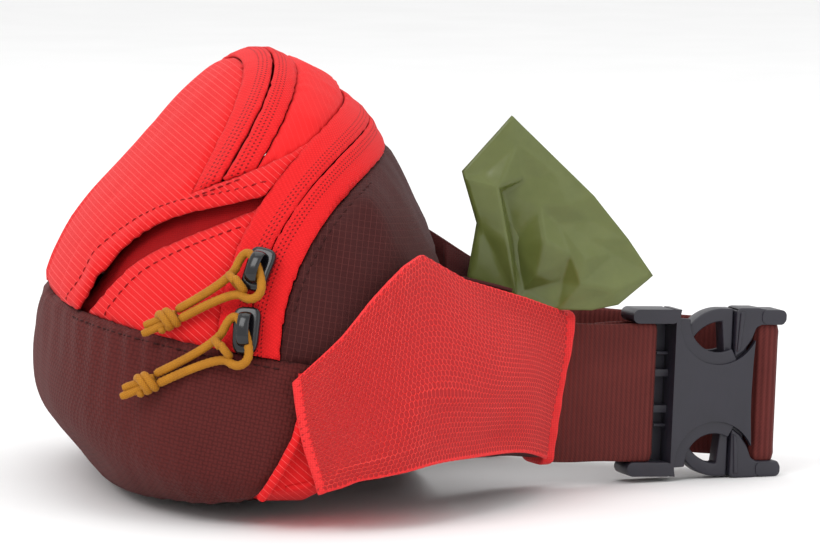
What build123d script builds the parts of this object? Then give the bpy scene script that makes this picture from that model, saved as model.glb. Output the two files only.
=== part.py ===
from build123d import *

import math
import os

# Waist pack for dog walks: a domed fabric pack, two hip wings, a webbing belt closed by a
# side-release buckle, and a bag dispenser in the right wing.
#
# Frame: +X is the pack's right side, -Y its front, +Z up. The origin is the middle of the flat base
# that it stands on. Millimetres.

os.makedirs("parts", exist_ok=True)

# ---------------------------------------------------------------- driving dimensions
HALF_WIDTH = 104.0  # body, from the middle to its widest point
ROUNDNESS = 2.4  # exponent of the rounded plan and of the ends
CORE_Y, CORE_Z = 32.0, 12.0  # the sections shrink towards this line as they near the sides
BACK_Y = 66.0  # flat back face, against the wearer
CLOTH = 1.2  # fabric wall
REACH = 140.0  # longer than the body, for cutting prisms
STATIONS = (0, 25, 50, 72, 88, 98, 103)  # X of the loft's sections, right half

# middle section, seen from the right: base corner, front, top, back edge, as (Y, Z)
FRONT_AND_TOP = [
    (-18, -3), (-37, 10), (-42, 34), (-34, 65), (-8, 97), (20, 118), (44, 107), (61, 81), (72, 58),
]  # fmt: skip
BACK_FOOT = (70, -3)
MIDDLE = (14, 55)  # inside point that the lining shrinks towards
HALF_DEPTH, HALF_HEIGHT = 56.0, 62.0

SEAM_Z, SEAM_SLOPE = 45.5, -0.167  # base seam: Z = SEAM_Z + SEAM_SLOPE * Y
MAIN_ZIP = (67.6, 42.8, 61.1)  # main zip line seen from the side: centre Y, centre Z, radius
FRONT_ZIP_FOOT, FRONT_ZIP_HEAD = (2.4, 87.5), (22.5, 118.0)  # front zip line, (Y, Z)
FOOT_FRONT, FOOT_REAR = (-5.5, 83.8), (10.3, 91.1)  # ends of the seam across the zip's foot
HEAD_FRONT, HEAD_REAR = (14.8, 118.0), (30.3, 118.0)  # edges of the tapes at the very top
TAPE = 8.0  # width of one zip tape
SLIT = 1.6  # gap between the tapes, where the slider's neck runs
COIL = 1.5  # coil height and width

WEB_WIDTH, WEB = 38.0, 1.5  # webbing width and thickness
WEB_Z = 4.3  # lower edge of the webbing
CORD_D = 2.4



# ---------------------------------------------------------------- body form
def scale_at(x, half_width):
    """How large the section at x is, as a share of the middle section."""
    return (1 - (abs(x) / half_width) ** ROUNDNESS) ** (1 / ROUNDNESS)


def body_form(inset):
    """The body's solid form, with every face set in by inset."""
    fy, fz = (HALF_DEPTH - inset) / HALF_DEPTH, (HALF_HEIGHT - inset) / HALF_HEIGHT
    shrink = (HALF_WIDTH - inset) / HALF_WIDTH
    with BuildPart() as form:
        for x in [-s for s in reversed(STATIONS[1:])] + list(STATIONS):
            share = scale_at(x, HALF_WIDTH)

            def place(point):
                y = MIDDLE[0] + (point[0] - MIDDLE[0]) * fy
                z = MIDDLE[1] + (point[1] - MIDDLE[1]) * fz
                return (CORE_Y + (y - CORE_Y) * share, CORE_Z + (z - CORE_Z) * share)

            with BuildSketch(Plane.YZ.offset(x * shrink)):
                with BuildLine():
                    top = Spline(*[place(p) for p in FRONT_AND_TOP])
                    Polyline(top @ 1, place(BACK_FOOT), top @ 0)
                make_face()
        loft()
        with BuildSketch(Plane.YZ):
            with BuildLine():
                Polyline(
                    (-REACH, inset), (BACK_Y - inset, inset), (BACK_Y - inset, REACH), (-REACH, REACH),
                    close=True,
                )  # fmt: skip
            make_face()
        extrude(amount=REACH, both=True, mode=Mode.INTERSECT)
    return form.part


outer = body_form(0)
inner = body_form(CLOTH)
coil_floor = body_form(CLOTH + COIL)
pocket_back = body_form(9)
pocket_skin = body_form(10)


def prism(*points, x_from=-REACH, x_to=REACH):
    """A prism along X over a polygon of (Y, Z) points."""
    with BuildPart(mode=Mode.PRIVATE) as made:
        with BuildSketch(Plane.YZ.offset(min(x_from, x_to))):
            with BuildLine():
                Polyline(*points, close=True)
            make_face()
        extrude(amount=abs(x_to - x_from))
    return made.part


def ring(inside, outside):
    """The band between two circles about the main zip's centre, along X."""
    with BuildPart(mode=Mode.PRIVATE) as made:
        with BuildSketch(Plane.YZ):
            with Locations((MAIN_ZIP[0], MAIN_ZIP[1])):
                Circle(outside)
                if inside:
                    Circle(inside, mode=Mode.SUBTRACT)
        extrude(amount=REACH, both=True)
    return made.part


def beyond(foot, head, share=1.5):
    """The point past head on the line from foot."""
    return tuple(a + (b - a) * share for a, b in zip(foot, head))


def seam_z(y):
    return SEAM_Z + SEAM_SLOPE * y


def panel(name, skin, within, without=(), side=0):
    """One sewn panel: the part of a skin that is within a prism and outside others."""
    with BuildPart() as piece:
        add(skin)
        for shape in within:
            add(shape, mode=Mode.INTERSECT)
        for shape in without:
            add(shape, mode=Mode.SUBTRACT)
        if side:
            split(bisect_by=Plane.YZ, keep=Keep.TOP if side > 0 else Keep.BOTTOM)
    return finish(name, piece.part)


def finish(name, part):
    part.label = name
    export_step(part, f"parts/{name}.step")
    return part


with BuildPart() as shell_part:
    add(outer)
    add(inner, mode=Mode.SUBTRACT)
shell = shell_part.part

with BuildPart() as coil_part:
    add(inner)
    add(coil_floor, mode=Mode.SUBTRACT)
coil_layer = coil_part.part

with BuildPart() as pocket_part:
    add(pocket_back)
    add(pocket_skin, mode=Mode.SUBTRACT)
pocket_layer = pocket_part.part

below_seam = prism((-90, -10), (-90, seam_z(-90)), (110, seam_z(110)), (110, -10))
above_seam = prism((-90, seam_z(-90)), (-90, 160), (110, 160), (110, seam_z(110)))
back_slab = prism((BACK_Y - CLOTH, -10), (BACK_Y - CLOTH, 160), (110, 160), (110, -10))
main_disc = ring(0, MAIN_ZIP[2] + TAPE)
main_inside = ring(0, MAIN_ZIP[2] - TAPE)
zip_area = prism(FOOT_FRONT, FOOT_REAR, beyond(FOOT_REAR, HEAD_REAR), beyond(FOOT_FRONT, HEAD_FRONT))
seam_end = beyond(FOOT_FRONT, FOOT_REAR, 2.4)
top_area = prism(FOOT_REAR, seam_end, (120, seam_end[1]), (120, 170), beyond(FOOT_REAR, HEAD_REAR))
zip_line = [beyond(FRONT_ZIP_HEAD, FRONT_ZIP_FOOT, 1.1), beyond(FRONT_ZIP_FOOT, FRONT_ZIP_HEAD)]


def beside_zip(low, high):
    """The band along the front zip's line, from low to high on its rear side."""
    return prism(
        *[(y + low, z - low * 0.4) for y, z in zip_line],
        *[(y + high, z - high * 0.4) for y, z in reversed(zip_line)],
    )


ahead_of_zip = prism((-60, 60), beyond(FRONT_ZIP_HEAD, FRONT_ZIP_FOOT, 3), zip_line[1], (-60, 150))
behind_zip = prism((90, 60), beyond(FRONT_ZIP_HEAD, FRONT_ZIP_FOOT, 3), zip_line[1], (90, 150))
zip_slit = beside_zip(-SLIT / 2, SLIT / 2)
# mouth of the side pockets: from the front foot up to the main zip
MOUTH = [(-45, 38), (-36, 51.5), (-24.5, 62.8), (-7.1, 74.6), (16.2, 85.4), (34, 91)]
LIP = 3.0  # how far the pocket's lip sits below the mouth
above_mouth = prism(*MOUTH, (34, 160), (-90, 160), (-90, 38))
below_mouth = prism(*[(y + 1, z - LIP) for y, z in MOUTH], (34, 10), (-45, 10))

# lower red panels, from the piping line back under the wings, seen from the side
PIPING = [(18.6, 39.5), (18.0, 30), (15.4, 18), (10.6, 6.5)]
WING_AREA = [(18.6, 39.5), (18.0, 30), (15.4, 18), (10.6, 6.5), (6, -6), (62, -6), (62, 30), (40, 40)]
under_wing = {side: prism(*WING_AREA, x_from=74 * side, x_to=REACH * side) for side in (1, -1)}

# ---------------------------------------------------------------- sewn panels
base_panel = panel("base_panel", shell, [below_seam], [back_slab, under_wing[1], under_wing[-1]])
back_panel = panel("back_panel", shell, [back_slab])
tape_ahead = ring(MAIN_ZIP[2] + SLIT / 2, MAIN_ZIP[2] + TAPE)
tape_behind = ring(MAIN_ZIP[2] - TAPE, MAIN_ZIP[2] - SLIT / 2)
main_tape_front = panel("main_zip_tape_front", shell, [above_seam, tape_ahead], [back_slab])
main_tape_rear = panel("main_zip_tape_rear", shell, [above_seam, tape_behind], [back_slab])
rear_gusset = panel("rear_gusset", shell, [above_seam, main_inside], [back_slab])
front_panel = panel("front_panel", shell, [above_seam, above_mouth], [zip_area, top_area, main_disc])
front_tape_lower = panel("front_zip_tape_lower", shell, [zip_area, ahead_of_zip], [zip_slit, main_disc])
front_tape_upper = panel("front_zip_tape_upper", shell, [zip_area, behind_zip], [zip_slit, main_disc])
top_panel = panel("top_panel", shell, [top_area], [main_disc])
LINING_AREA = [(-34, 47), (-20, 62), (-4, 71), (-2, 60), (-2, 45), (-20, 46)]
for side, word in ((1, "right"), (-1, "left")):
    panel(f"{word}_side_pocket", shell, [above_seam, below_mouth], [main_disc], side)
    lining_area = prism(*LINING_AREA, x_from=46 * side, x_to=REACH * side)
    panel(f"{word}_pocket_lining", pocket_layer, [lining_area])
    panel(f"{word}_lower_panel", shell, [below_seam, under_wing[side]], [back_slab])


def coil(name, line, without):
    """Both rows of zip teeth under the tapes' edges."""
    with BuildPart() as made:
        for edge in line:
            add(edge)
        for shape in (inner, above_seam):
            add(shape, mode=Mode.INTERSECT)
        for shape in (coil_floor, back_slab, *without):
            add(shape, mode=Mode.SUBTRACT)
    return finish(name, made.part)


radius = MAIN_ZIP[2]
main_teeth = [
    ring(radius + SLIT / 2, radius + SLIT / 2 + COIL),
    ring(radius - SLIT / 2 - COIL, radius - SLIT / 2),
]
front_teeth = [beside_zip(SLIT / 2, SLIT / 2 + COIL), beside_zip(-SLIT / 2 - COIL, -SLIT / 2)]
coil("main_zip_coil", main_teeth, [])
coil("front_zip_coil", front_teeth, [main_disc])

# wall between the front pocket and the main compartment
DIVIDER = [(18.5, 100), (-8, 62), (-16, 9), (-17, 9), (-9, 62), (17.5, 101)]
with BuildPart() as divider:
    add(prism(*DIVIDER))
    add(pocket_skin, mode=Mode.INTERSECT)
finish("pocket_divider", divider.part)

# foam board against the back panel
FOAM = 4.0
with BuildPart() as back_foam:
    with BuildSketch(Plane.XZ.offset(-(BACK_Y - CLOTH))):
        with Locations((0, 34)):
            RectangleRounded(96, 52, 10)
    extrude(amount=FOAM)
finish("back_foam", back_foam.part)


# ---------------------------------------------------------------- places on the body
def on_body(y, z, side=1):
    """The point and outward normal of the body's surface at (y, z) on one side."""
    hits = outer.find_intersection_points(Axis((0, y, z), (side, 0, 0)))
    return max(hits, key=lambda hit: hit[0].X * side)


def main_trace(degrees):
    angle = math.radians(degrees)
    return (MAIN_ZIP[0] + MAIN_ZIP[2] * math.cos(angle), MAIN_ZIP[1] + MAIN_ZIP[2] * math.sin(angle))


def front_trace(share):
    return tuple(a + (b - a) * share for a, b in zip(FRONT_ZIP_FOOT, FRONT_ZIP_HEAD))


def zip_plane(trace, at, step, side=1):
    """A plane on the zip: origin on the cloth, y along the zip towards step, z outwards."""
    point, normal = on_body(*trace(at), side)
    ahead, _ = on_body(*trace(at + step), side)
    across = (ahead - point).cross(normal).normalized()
    return Plane(origin=point, x_dir=across, z_dir=normal)


def zip_circle(trace, places, side=1):
    """The circle through three places on a zip: centre, axis, radius and the angle it spans."""
    a, b, c = [on_body(*trace(s), side)[0] for s in places]
    ab, ac = b - a, c - a
    axis = ab.cross(ac)
    to_centre = (axis.cross(ab) * ac.length**2 + ac.cross(axis) * ab.length**2) / (2 * axis.length**2)
    centre = a + to_centre
    span = (a - centre).get_angle(b - centre) + (b - centre).get_angle(c - centre)
    return centre, axis.normalized(), to_centre.length, span


# piping: a cord in a red sleeve, lying on the seam
PIPING_D = 2.6
piping_points = [on_body(y, z)[0] + on_body(y, z)[1] * (PIPING_D / 2 + 0.05) for y, z in PIPING]
with BuildPart() as right_piping:
    with BuildLine():
        seam_line = Spline(*piping_points)
    with BuildSketch(Plane(seam_line @ 0, z_dir=seam_line % 0)):
        Circle(PIPING_D / 2)
    sweep(path=seam_line)
    add(outer, mode=Mode.SUBTRACT)

# ---------------------------------------------------------------- zip sliders and their cord pulls
SLIDER_LENGTH, SLIDER_WIDTH, PLATE = 12.0, 8.4, 0.9
LIFT = 0.8  # clearance between slider and tape
BRIDGE_WIDTH, BRIDGE_SPAN, BRIDGE_RISE = 2.2, 9.8, 4.6
HOLE_SPAN, HOLE_RISE = 7.6, 3.4
HOLE_W = LIFT + PLATE + HOLE_RISE / 2  # height of the pull's axis over the cloth
BRIDGE_SHIFT = 0.5


def slider(name, plane, flip=1):
    """A slider: its body on the zip and a bridge that the cord runs through."""
    half = SLIDER_LENGTH / 2
    base = Plane(plane.origin, x_dir=plane.x_dir * flip, z_dir=plane.z_dir)
    upright = Plane(base.origin, x_dir=base.y_dir, z_dir=base.x_dir)
    with BuildPart() as made:
        with BuildSketch(base.offset(LIFT)):
            with BuildLine():
                outline = [
                    (-3.0, half), (3.0, half), (2.7, half - 2.4), (SLIDER_WIDTH / 2, 0.4), (3.3, 2 - half),
                    (1.6, -half), (-1.6, -half), (-3.3, 2 - half), (-SLIDER_WIDTH / 2, 0.4), (-2.7, half - 2.4),
                ]  # fmt: skip
                Polyline(*outline, close=True)
            make_face()
            fillet([v for v in vertices()], 0.6)
        extrude(amount=PLATE)
        with BuildSketch(base.offset(LIFT + PLATE)):
            with Locations((0, BRIDGE_SHIFT)):
                Rectangle(BRIDGE_WIDTH, BRIDGE_SPAN)
        extrude(amount=BRIDGE_RISE)
        with BuildSketch(upright):
            with Locations((BRIDGE_SHIFT, HOLE_W)):
                RectangleRounded(HOLE_SPAN, HOLE_RISE, 1.2)
        extrude(amount=20, both=True, mode=Mode.SUBTRACT)
        top_ends = made.edges().filter_by(Axis(base.origin, base.x_dir)).sort_by(Axis(base.origin, base.z_dir))
        fillet(top_ends[-2:], 1.0)
    return finish(name, made.part)


STRAND_GAP = 2.7  # between the pull's two strands at the knot
KNOT_LENGTH, KNOT_RADIUS = 7.5, 3.2


def cord_pull(name, plane, knot_at, side=1, flip=1):
    """A cord pull: one hairpin of cord through the bridge, and the knot that ties its ends."""
    surface, normal = on_body(*knot_at, side)
    knot_start = plane.to_local_coords(surface + normal * (KNOT_RADIUS + 0.7))
    hole = Vector(0, BRIDGE_SHIFT * flip)
    run = Vector(knot_start.X, knot_start.Y) - hole
    length, run = run.length, run.normalized()
    across = Vector(-run.Y, run.X)
    post_v = -(BRIDGE_SPAN + HOLE_SPAN) / 4
    wide = 1 if across.Y * post_v > 0 else -1
    far = (abs(across.Y * post_v) + 3.7) * wide

    def place(p, r, w):
        return plane.from_local_coords(hole + across * p + run * r + Vector(0, 0, w))

    fall = (knot_start.Z - HOLE_W) / length
    gap = STRAND_GAP / 2 * wide
    route = [
        place(-gap, length, knot_start.Z),
        place(-3.6 * wide, 3.0, HOLE_W + 3.0 * fall),
        place(-3.6 * wide, 0, HOLE_W),
        place(far, 0, HOLE_W),
        place(far, 4.5, HOLE_W + 4.5 * fall),
        place(gap, length, knot_start.Z),
    ]
    with BuildPart() as cord:
        with BuildLine():
            line = FilletPolyline(*route, radius=[1.6, 1.5, 1.5, 1.6])
        with BuildSketch(Plane(line @ 0, z_dir=line % 0)):
            Circle(CORD_D / 2)
        sweep(path=line)
    finish(f"{name}_cord", cord.part)
    start, end = place(0, 0, HOLE_W), place(0, length, knot_start.Z)
    with BuildPart() as knot:
        with BuildSketch(Plane(end, z_dir=end - start)):
            Circle(KNOT_RADIUS)
        extrude(amount=KNOT_LENGTH)
        fillet(knot.edges().filter_by(GeomType.CIRCLE), 1.4)
    finish(f"{name}_knot", knot.part)
    axis = plane.from_local_coords(across) - plane.origin
    whole = cord.part.volume / (line.length * math.pi * CORD_D**2 / 4)
    print(name, "length", round(line.length, 1), "share", round(whole, 3), "at", start, "axis", axis)
    print(name, "route", [tuple(round(c, 2) for c in p) for p in route])


UPPER_AT, LOWER_AT = 158.5, 173.2  # angles on the main zip's circle
FRONT_AT = 0.25
LOWER_TURN = -12.0  # the lower slider sits a little askew, towards its pull
upper_plane = zip_plane(main_trace, UPPER_AT, -2)
lower_plane = zip_plane(main_trace, LOWER_AT, -2)
askew = lower_plane.x_dir.rotate(Axis((0, 0, 0), lower_plane.z_dir), LOWER_TURN)
lower_plane = Plane(lower_plane.origin, x_dir=askew, z_dir=lower_plane.z_dir)
front_plane = zip_plane(front_trace, FRONT_AT, 0.05, side=-1)
slider("main_slider_upper", upper_plane)
slider("main_slider_lower", lower_plane, flip=-1)
slider("front_slider", front_plane)
cord_pull("upper_pull", upper_plane, (-11.5, 54.3))
cord_pull("lower_pull", lower_plane, (-17.0, 38.6), flip=-1)
cord_pull("front_pull", front_plane, (-6.0, 74.0), side=-1)
for word, line_of, places, side in (
    ("upper", main_trace, (UPPER_AT, UPPER_AT - 14, UPPER_AT - 28), 1),
    ("lower", main_trace, (LOWER_AT, LOWER_AT - 5, LOWER_AT - 10), 1),
    ("front", front_trace, (FRONT_AT, FRONT_AT + 0.25, FRONT_AT + 0.5), -1),
):  # fmt: skip
    print(word, "zip circle: centre, axis, radius, span", *zip_circle(line_of, places, side))

# ---------------------------------------------------------------- belt frame
# the belt and its buckle are drawn square to the axes, then turned and tipped together
YAW, DROOP = 12.0, 2.5
BAR = Vector(22.0, 123.2, 23.2)  # middle of the bar that the right strap is sewn round
BELT = Pos(*BAR) * Rot(0, 0, YAW) * Rot(-DROOP, 0, 0) * Pos(*(-BAR))


def in_belt(x, y):
    """Where a point seen from above lies in the belt's own frame."""
    point = BELT.inverse() * Pos(x, y, BAR.Z)
    return (point.position.X, point.position.Y)


def strap(points, radii, thickness=WEB, low=0.0):
    """Webbing on edge: a path seen from above, given its thickness and the webbing's width."""
    with BuildPart() as made:
        with BuildSketch(Plane.XY.offset(WEB_Z + low)):
            with BuildLine():
                if radii:
                    FilletPolyline(*points, radius=radii)
                else:
                    Line(*points)
            trace(line_width=thickness)
        extrude(amount=WEB_WIDTH - 2 * low)
    return made.part


BAR_D = 4.0
round_bar = BAR_D / 2 + 0.3 + WEB / 2
right_path = [
    (BAR.X + 4.0, 95.5),
    (BAR.X + round_bar, BAR.Y + round_bar),
    (BAR.X - round_bar, BAR.Y + round_bar),
    (BAR.X - round_bar + 0.2, BAR.Y - 4),
    (BAR.X + 1.3, BAR.Y - 15),
]
right_radii = [round_bar - 0.05, round_bar - 0.05, 3.0]
right_strap = strap(right_path, right_radii)
MALE_BAR = (157.6, 161.6)  # the flat bar of the male half, along the belt
turn = 1.5 + 0.3 + WEB / 2
outer_turn, inner_turn = MALE_BAR[1] + 0.3 + WEB / 2, MALE_BAR[0] - 0.3 - WEB / 2
root = Vector(*in_belt(-33, 95))
corner = Vector(17.0, outer_turn)
lead = (corner - root).normalized()
beside = Vector(lead.Y, -lead.X) * 2.7
foot = corner + beside
tail_corner = foot - lead * ((foot.Y - inner_turn) / lead.Y)
CUT, TAIL = 15.5, 54.0
left_strap = strap([tuple(root)[:2], tuple(root + lead * (CUT - 0.4))[:2]], None)
turn_path = [
    tuple(root + lead * CUT)[:2],
    tuple(corner)[:2],
    (BAR.X + turn, outer_turn),
    (BAR.X + turn, inner_turn),
    tuple(tail_corner)[:2],
    tuple(tail_corner - lead * TAIL)[:2],
]
webbing_turn = strap(turn_path, [3.5, 2.5, 2.5, 3.5])
finish("right_webbing", right_strap.moved(BELT))
finish("left_webbing", left_strap.moved(BELT))
finish("webbing_turn", webbing_turn.moved(BELT))

# ---------------------------------------------------------------- buckle, in the belt's frame
BUCKLE = 9.6  # thickness
LOW, TOP = 0.2, 46.4
LOBE_START, LOBE_END, PLATE_START, MOUTH_Y = 118.4, 132.0, 131.2, 156.0
CAVITY = 6.4
LOBE = 3.9  # height of the rails above and below the webbing
CUTS = ((144.3, 43.2), (144.3, 3.4))
CUT_R = 12.0


def slab(*points, thick, round_by=0.0):
    """A plate seen from the side of the belt, centred on the buckle's middle plane."""
    with BuildPart(mode=Mode.PRIVATE) as made:
        with BuildSketch(Plane.YZ.offset(BAR.X)):
            with BuildLine():
                Polyline(*points, close=True)
            make_face()
            if round_by:
                fillet(vertices(), round_by)
        extrude(amount=thick / 2, both=True)
    return made.part


with BuildPart() as female:
    with BuildSketch(Plane.YZ.offset(BAR.X)):
        with Locations(*[((LOBE_START + LOBE_END) / 2, z) for z in (TOP - LOBE / 2, LOW + LOBE / 2)]):
            RectangleRounded(LOBE_END - LOBE_START, LOBE, 1.9)
        with BuildLine():
            plate_edge = Polyline((MOUTH_Y, LOW), (PLATE_START, LOW), (PLATE_START, TOP), (MOUTH_Y, TOP))
            ThreePointArc((MOUTH_Y, TOP), (MOUTH_Y - 1.5, (LOW + TOP) / 2), (MOUTH_Y, LOW))
        make_face()
        with Locations(*CUTS):
            Circle(CUT_R, mode=Mode.SUBTRACT)
        with Locations((MOUTH_Y, TOP), (MOUTH_Y, LOW)):
            Rectangle(4, 8, mode=Mode.SUBTRACT)
    extrude(amount=BUCKLE / 2, both=True)
    with BuildSketch(Plane.YZ.offset(BAR.X)):
        with Locations((145.7, (LOW + TOP) / 2)):
            Rectangle(25.6, 60)
    extrude(amount=CAVITY / 2, both=True, mode=Mode.SUBTRACT)
    with BuildSketch(Plane.XY.offset(LOW + 2)):
        with Locations((BAR.X, BAR.Y)):
            Circle(BAR_D / 2)
    extrude(amount=TOP - LOW - 4)
    with BuildSketch(Plane.YZ.offset(BAR.X)):
        with Locations((129.3, 18.4), (129.3, 28.4)):
            Rectangle(3.8, 2.0)
    extrude(amount=-1.4)
finish("buckle_female", female.part.moved(BELT))

GUIDE = 5.4  # thickness of what runs inside the female half
SHOULDER = 149.4  # where the male half's shoulders begin, along the belt
MID = (LOW + TOP) / 2
with BuildPart() as male:
    with BuildSketch(Plane.YZ.offset(BAR.X)):
        with Locations((151.3, MID)):
            Rectangle(3.8, 43)
        with Locations((146.0, MID)):
            RectangleRounded(12, 9, 1.5)
        with Locations((155.4, TOP - 2.3), (155.4, LOW + 2.3)):
            Rectangle(12.0, 3.2)
    extrude(amount=GUIDE / 2, both=True)
    with BuildSketch(Plane.YZ.offset(BAR.X)):
        with Locations((160.6, TOP - LOBE / 2), (160.6, LOW + LOBE / 2)):
            RectangleRounded(7.2, LOBE, 1.6)
    extrude(amount=BUCKLE / 2 - 0.4, both=True)
    with BuildSketch(Plane.XY.offset(LOW + 2)):
        with Locations((BAR.X, sum(MALE_BAR) / 2)):
            RectangleRounded(3.0, MALE_BAR[1] - MALE_BAR[0], 1.45)
    extrude(amount=TOP - LOW - 4)
finish("buckle_male", male.part.moved(BELT))


def prong(name, up):
    """One spring arm of the male half; up is 1 for the upper and -1 for the lower arm."""
    def at(y, z):
        return (y, MID + up * (z - MID))

    with BuildPart() as arm:
        with BuildSketch(Plane.YZ.offset(BAR.X)):
            with BuildLine():
                Polyline(at(SHOULDER - 0.4, 33.2), at(SHOULDER - 0.4, 46.6), at(146.0, 46.6))
                ThreePointArc(at(146.0, 46.6), at(138.8, 44.4), at(134.4, 38.8))
                Line(at(134.4, 38.8), at(136.6, 37.2))
                ThreePointArc(at(136.6, 37.2), at(140.2, 41.2), at(145.6, 43.0))
                Polyline(at(145.6, 43.0), at(146.6, 33.2), at(SHOULDER - 0.4, 33.2))
            make_face()
        extrude(amount=GUIDE / 2, both=True)
    return finish(name, arm.part.moved(BELT))


prong("prong_upper", 1)
prong("prong_lower", -1)
for word, up in (("upper", 1), ("lower", -1)):
    print(word, "prong pivot", (BELT * Pos(BAR.X, SHOULDER - 0.5, MID + up * 10.2)).position)
print("belt along", Plane(BELT).y_dir, "prong axis", Plane(BELT).x_dir)


# ---------------------------------------------------------------- wings
def strip(sections, thickness):
    """A thin lofted strip. Each section: its two ends, the direction of its thickness, its bulge."""
    with BuildPart(mode=Mode.PRIVATE) as made:
        for low, high, out, bulge in sections:
            low, high, out = Vector(*low), Vector(*high), Vector(*out).normalized()
            base = Plane(origin=low, x_dir=out, z_dir=out.cross(high - low))
            reach = base.to_local_coords(high)
            with BuildSketch(base):
                with BuildLine():
                    middle = [(reach.X / 2 + bulge, reach.Y / 2)] if bulge else []
                    inside = [(0, 0), *middle, (reach.X, reach.Y)]
                    Polyline(*inside, *[(x + thickness, y) for x, y in reversed(inside)], close=True)
                make_face()
        loft(ruled=True)
    return made.part


WING_CLOTH = 1.5
REAR_Y = 50.5  # behind this the mesh leaves the body


def skin(y, z):
    return tuple(on_body(y, z)[0] + Vector(0.2, 0, 0))


OUTER_FOOT = [skin(REAR_Y - 1.5, 12.4), (84, 68, 12), (60, 86, 9), (36.5, 101, 6.5)]
OUTER_RIM = [skin(REAR_Y - 1.5, 65), (72, 67.2, 59.8), (53, 86, 53.8), (36, 101, 48.6)]
OUTER_OUT = [(0.9, 0.45, 0), (0.66, 0.75, 0), (0.54, 0.84, 0), (0.54, 0.84, 0)]
OUTER_BULGE = (8.2, 3.0, 1.2, 0.6)
FRONT_OUTLINE = [
    (23.2, 11), (19.5, 24), (18.0, 37.5), (26, 46), (33, 53), (REAR_Y + 0.6, 66.6), (REAR_Y + 0.6, 12.6), (32, 11.5),
]  # fmt: skip
LINING_FOOT = [(42, 66.05, 8), (35, 75, 8), (28, 86, 7), (25.5, 98, 6)]
LINING_RIM = [(42, 66.05, 67), (35, 75, 61.5), (28, 86, 54.5), (25.5, 98, 48.6)]
LINING_OUT = [(1, 0.9, 0), (0.8, 0.6, 0), (0.9, 0.35, 0), (1, 0.1, 0)]
END_OUTLINE = [(24.0, 97.3), (37.2, 101.6), (35.8, 105.2), (22.6, 100.9)]

with BuildPart() as mesh_part:
    add(body_form(-WING_CLOTH))
    add(prism(*FRONT_OUTLINE, x_from=40), mode=Mode.INTERSECT)
    add(strip(list(zip(OUTER_FOOT, OUTER_RIM, OUTER_OUT, OUTER_BULGE)), WING_CLOTH))
    add(outer, mode=Mode.SUBTRACT)
outer_mesh = mesh_part.part
lining = strip([(*ends, 0) for ends in zip(LINING_FOOT, LINING_RIM, LINING_OUT)], 1.2)
foam_ends = [((x + 1.4, y + 0.5, 12), (x + 1.4, y + 0.5, 44)) for x, y, _ in LINING_FOOT[1:3]]
foam = strip([(*ends, out, 0) for ends, out in zip(foam_ends, LINING_OUT[1:3])], 1.4)
with BuildPart() as end_block:
    with BuildSketch(Plane.XY.offset(5.0)):
        with BuildLine():
            Polyline(*END_OUTLINE, close=True)
        make_face()
    extrude(amount=43.8)
end_prism = end_block.part


def cover(points, thickness, up):
    """A strip that closes the wing between its outer mesh and its lining."""
    return strip([(a, b, (0, 0, up), 0) for a, b in points], thickness)


TOP_PAIRS = [
    ((71.4, 67.3, 59.8), (43.6, 67.3, 65.8)), ((62.0, 76.6, 56.8), (35.4, 76.6, 60.2)),
    ((56.0, 82.6, 54.8), (31.6, 82.6, 56.4)),
]  # fmt: skip
TOP_END = [((38.6, 96.6, 48.8), (27.2, 96.6, 48.6)), ((37.6, 98.0, 48.6), (26.9, 98.0, 48.4))]
FLOOR_PAIRS = [
    ((82.6, 68, 13.2), (42, 68, 9.2)), ((59.0, 86, 10.2), (29.6, 86, 8.2)), ((40.0, 97.2, 8.4), (27.2, 97.2, 7.2)),
]  # fmt: skip
wing_pieces = {
    "wing_mesh": (outer_mesh, [end_prism, right_piping.part]),
    "wing_lining": (lining, [end_prism, outer]),
    "wing_foam": (foam, [end_prism]),
    "wing_top": (cover(TOP_PAIRS, 1.0, 1), [outer_mesh, lining, outer]),
    "wing_top_end": (cover(TOP_END, 1.0, 1), [outer_mesh, lining, end_prism]),
    "wing_floor": (cover(FLOOR_PAIRS, 1.0, -1), [outer_mesh, lining, outer, end_prism]),
}
belt_slots = {
    1: strap(right_path, right_radii, 2.1, -0.3).moved(BELT),
    -1: strap([tuple(root)[:2], tuple(root + lead * CUT)[:2]], None, 2.1, -0.3).moved(BELT),
}
for side, word in ((1, "right"), (-1, "left")):
    for name, (skin, without) in wing_pieces.items():
        with BuildPart() as piece:
            add(skin)
            for shape in without:
                add(shape, mode=Mode.SUBTRACT)
            if side < 0:
                mirror(about=Plane.YZ, mode=Mode.REPLACE)
            add(belt_slots[side], mode=Mode.SUBTRACT)
        finish(f"{word}_{name}", piece.part)
    with BuildPart() as wing_end:
        add(end_prism)
        if side < 0:
            mirror(about=Plane.YZ, mode=Mode.REPLACE)
        add(belt_slots[side], mode=Mode.SUBTRACT)
    finish(f"{word}_wing_end", wing_end.part)
    with BuildPart() as piping:
        add(right_piping.part)
        if side < 0:
            mirror(about=Plane.YZ, mode=Mode.REPLACE)
    finish(f"{word}_piping", piping.part)

# ---------------------------------------------------------------- waste bags in the right wing
ROLL_AT, ROLL_R, ROLL_LENGTH, CORE_R = (48.3, 81.0, 24.0), 6.0, 29.0, 2.6
roll_plane = Plane(origin=ROLL_AT, x_dir=(0, 0, 1), z_dir=(-0.838, 0.545, 0))
with BuildPart() as roll:
    with BuildSketch(roll_plane.offset(-ROLL_LENGTH / 2)):
        Circle(ROLL_R)
        Circle(CORE_R, mode=Mode.SUBTRACT)
    extrude(amount=ROLL_LENGTH)
finish("waste_bag_roll", roll.part)
with BuildPart() as core:
    with BuildSketch(roll_plane.offset(-ROLL_LENGTH / 2 - 0.8)):
        Circle(CORE_R)
        Circle(CORE_R - 1, mode=Mode.SUBTRACT)
    extrude(amount=ROLL_LENGTH + 1.6)
finish("roll_core", core.part)

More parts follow.
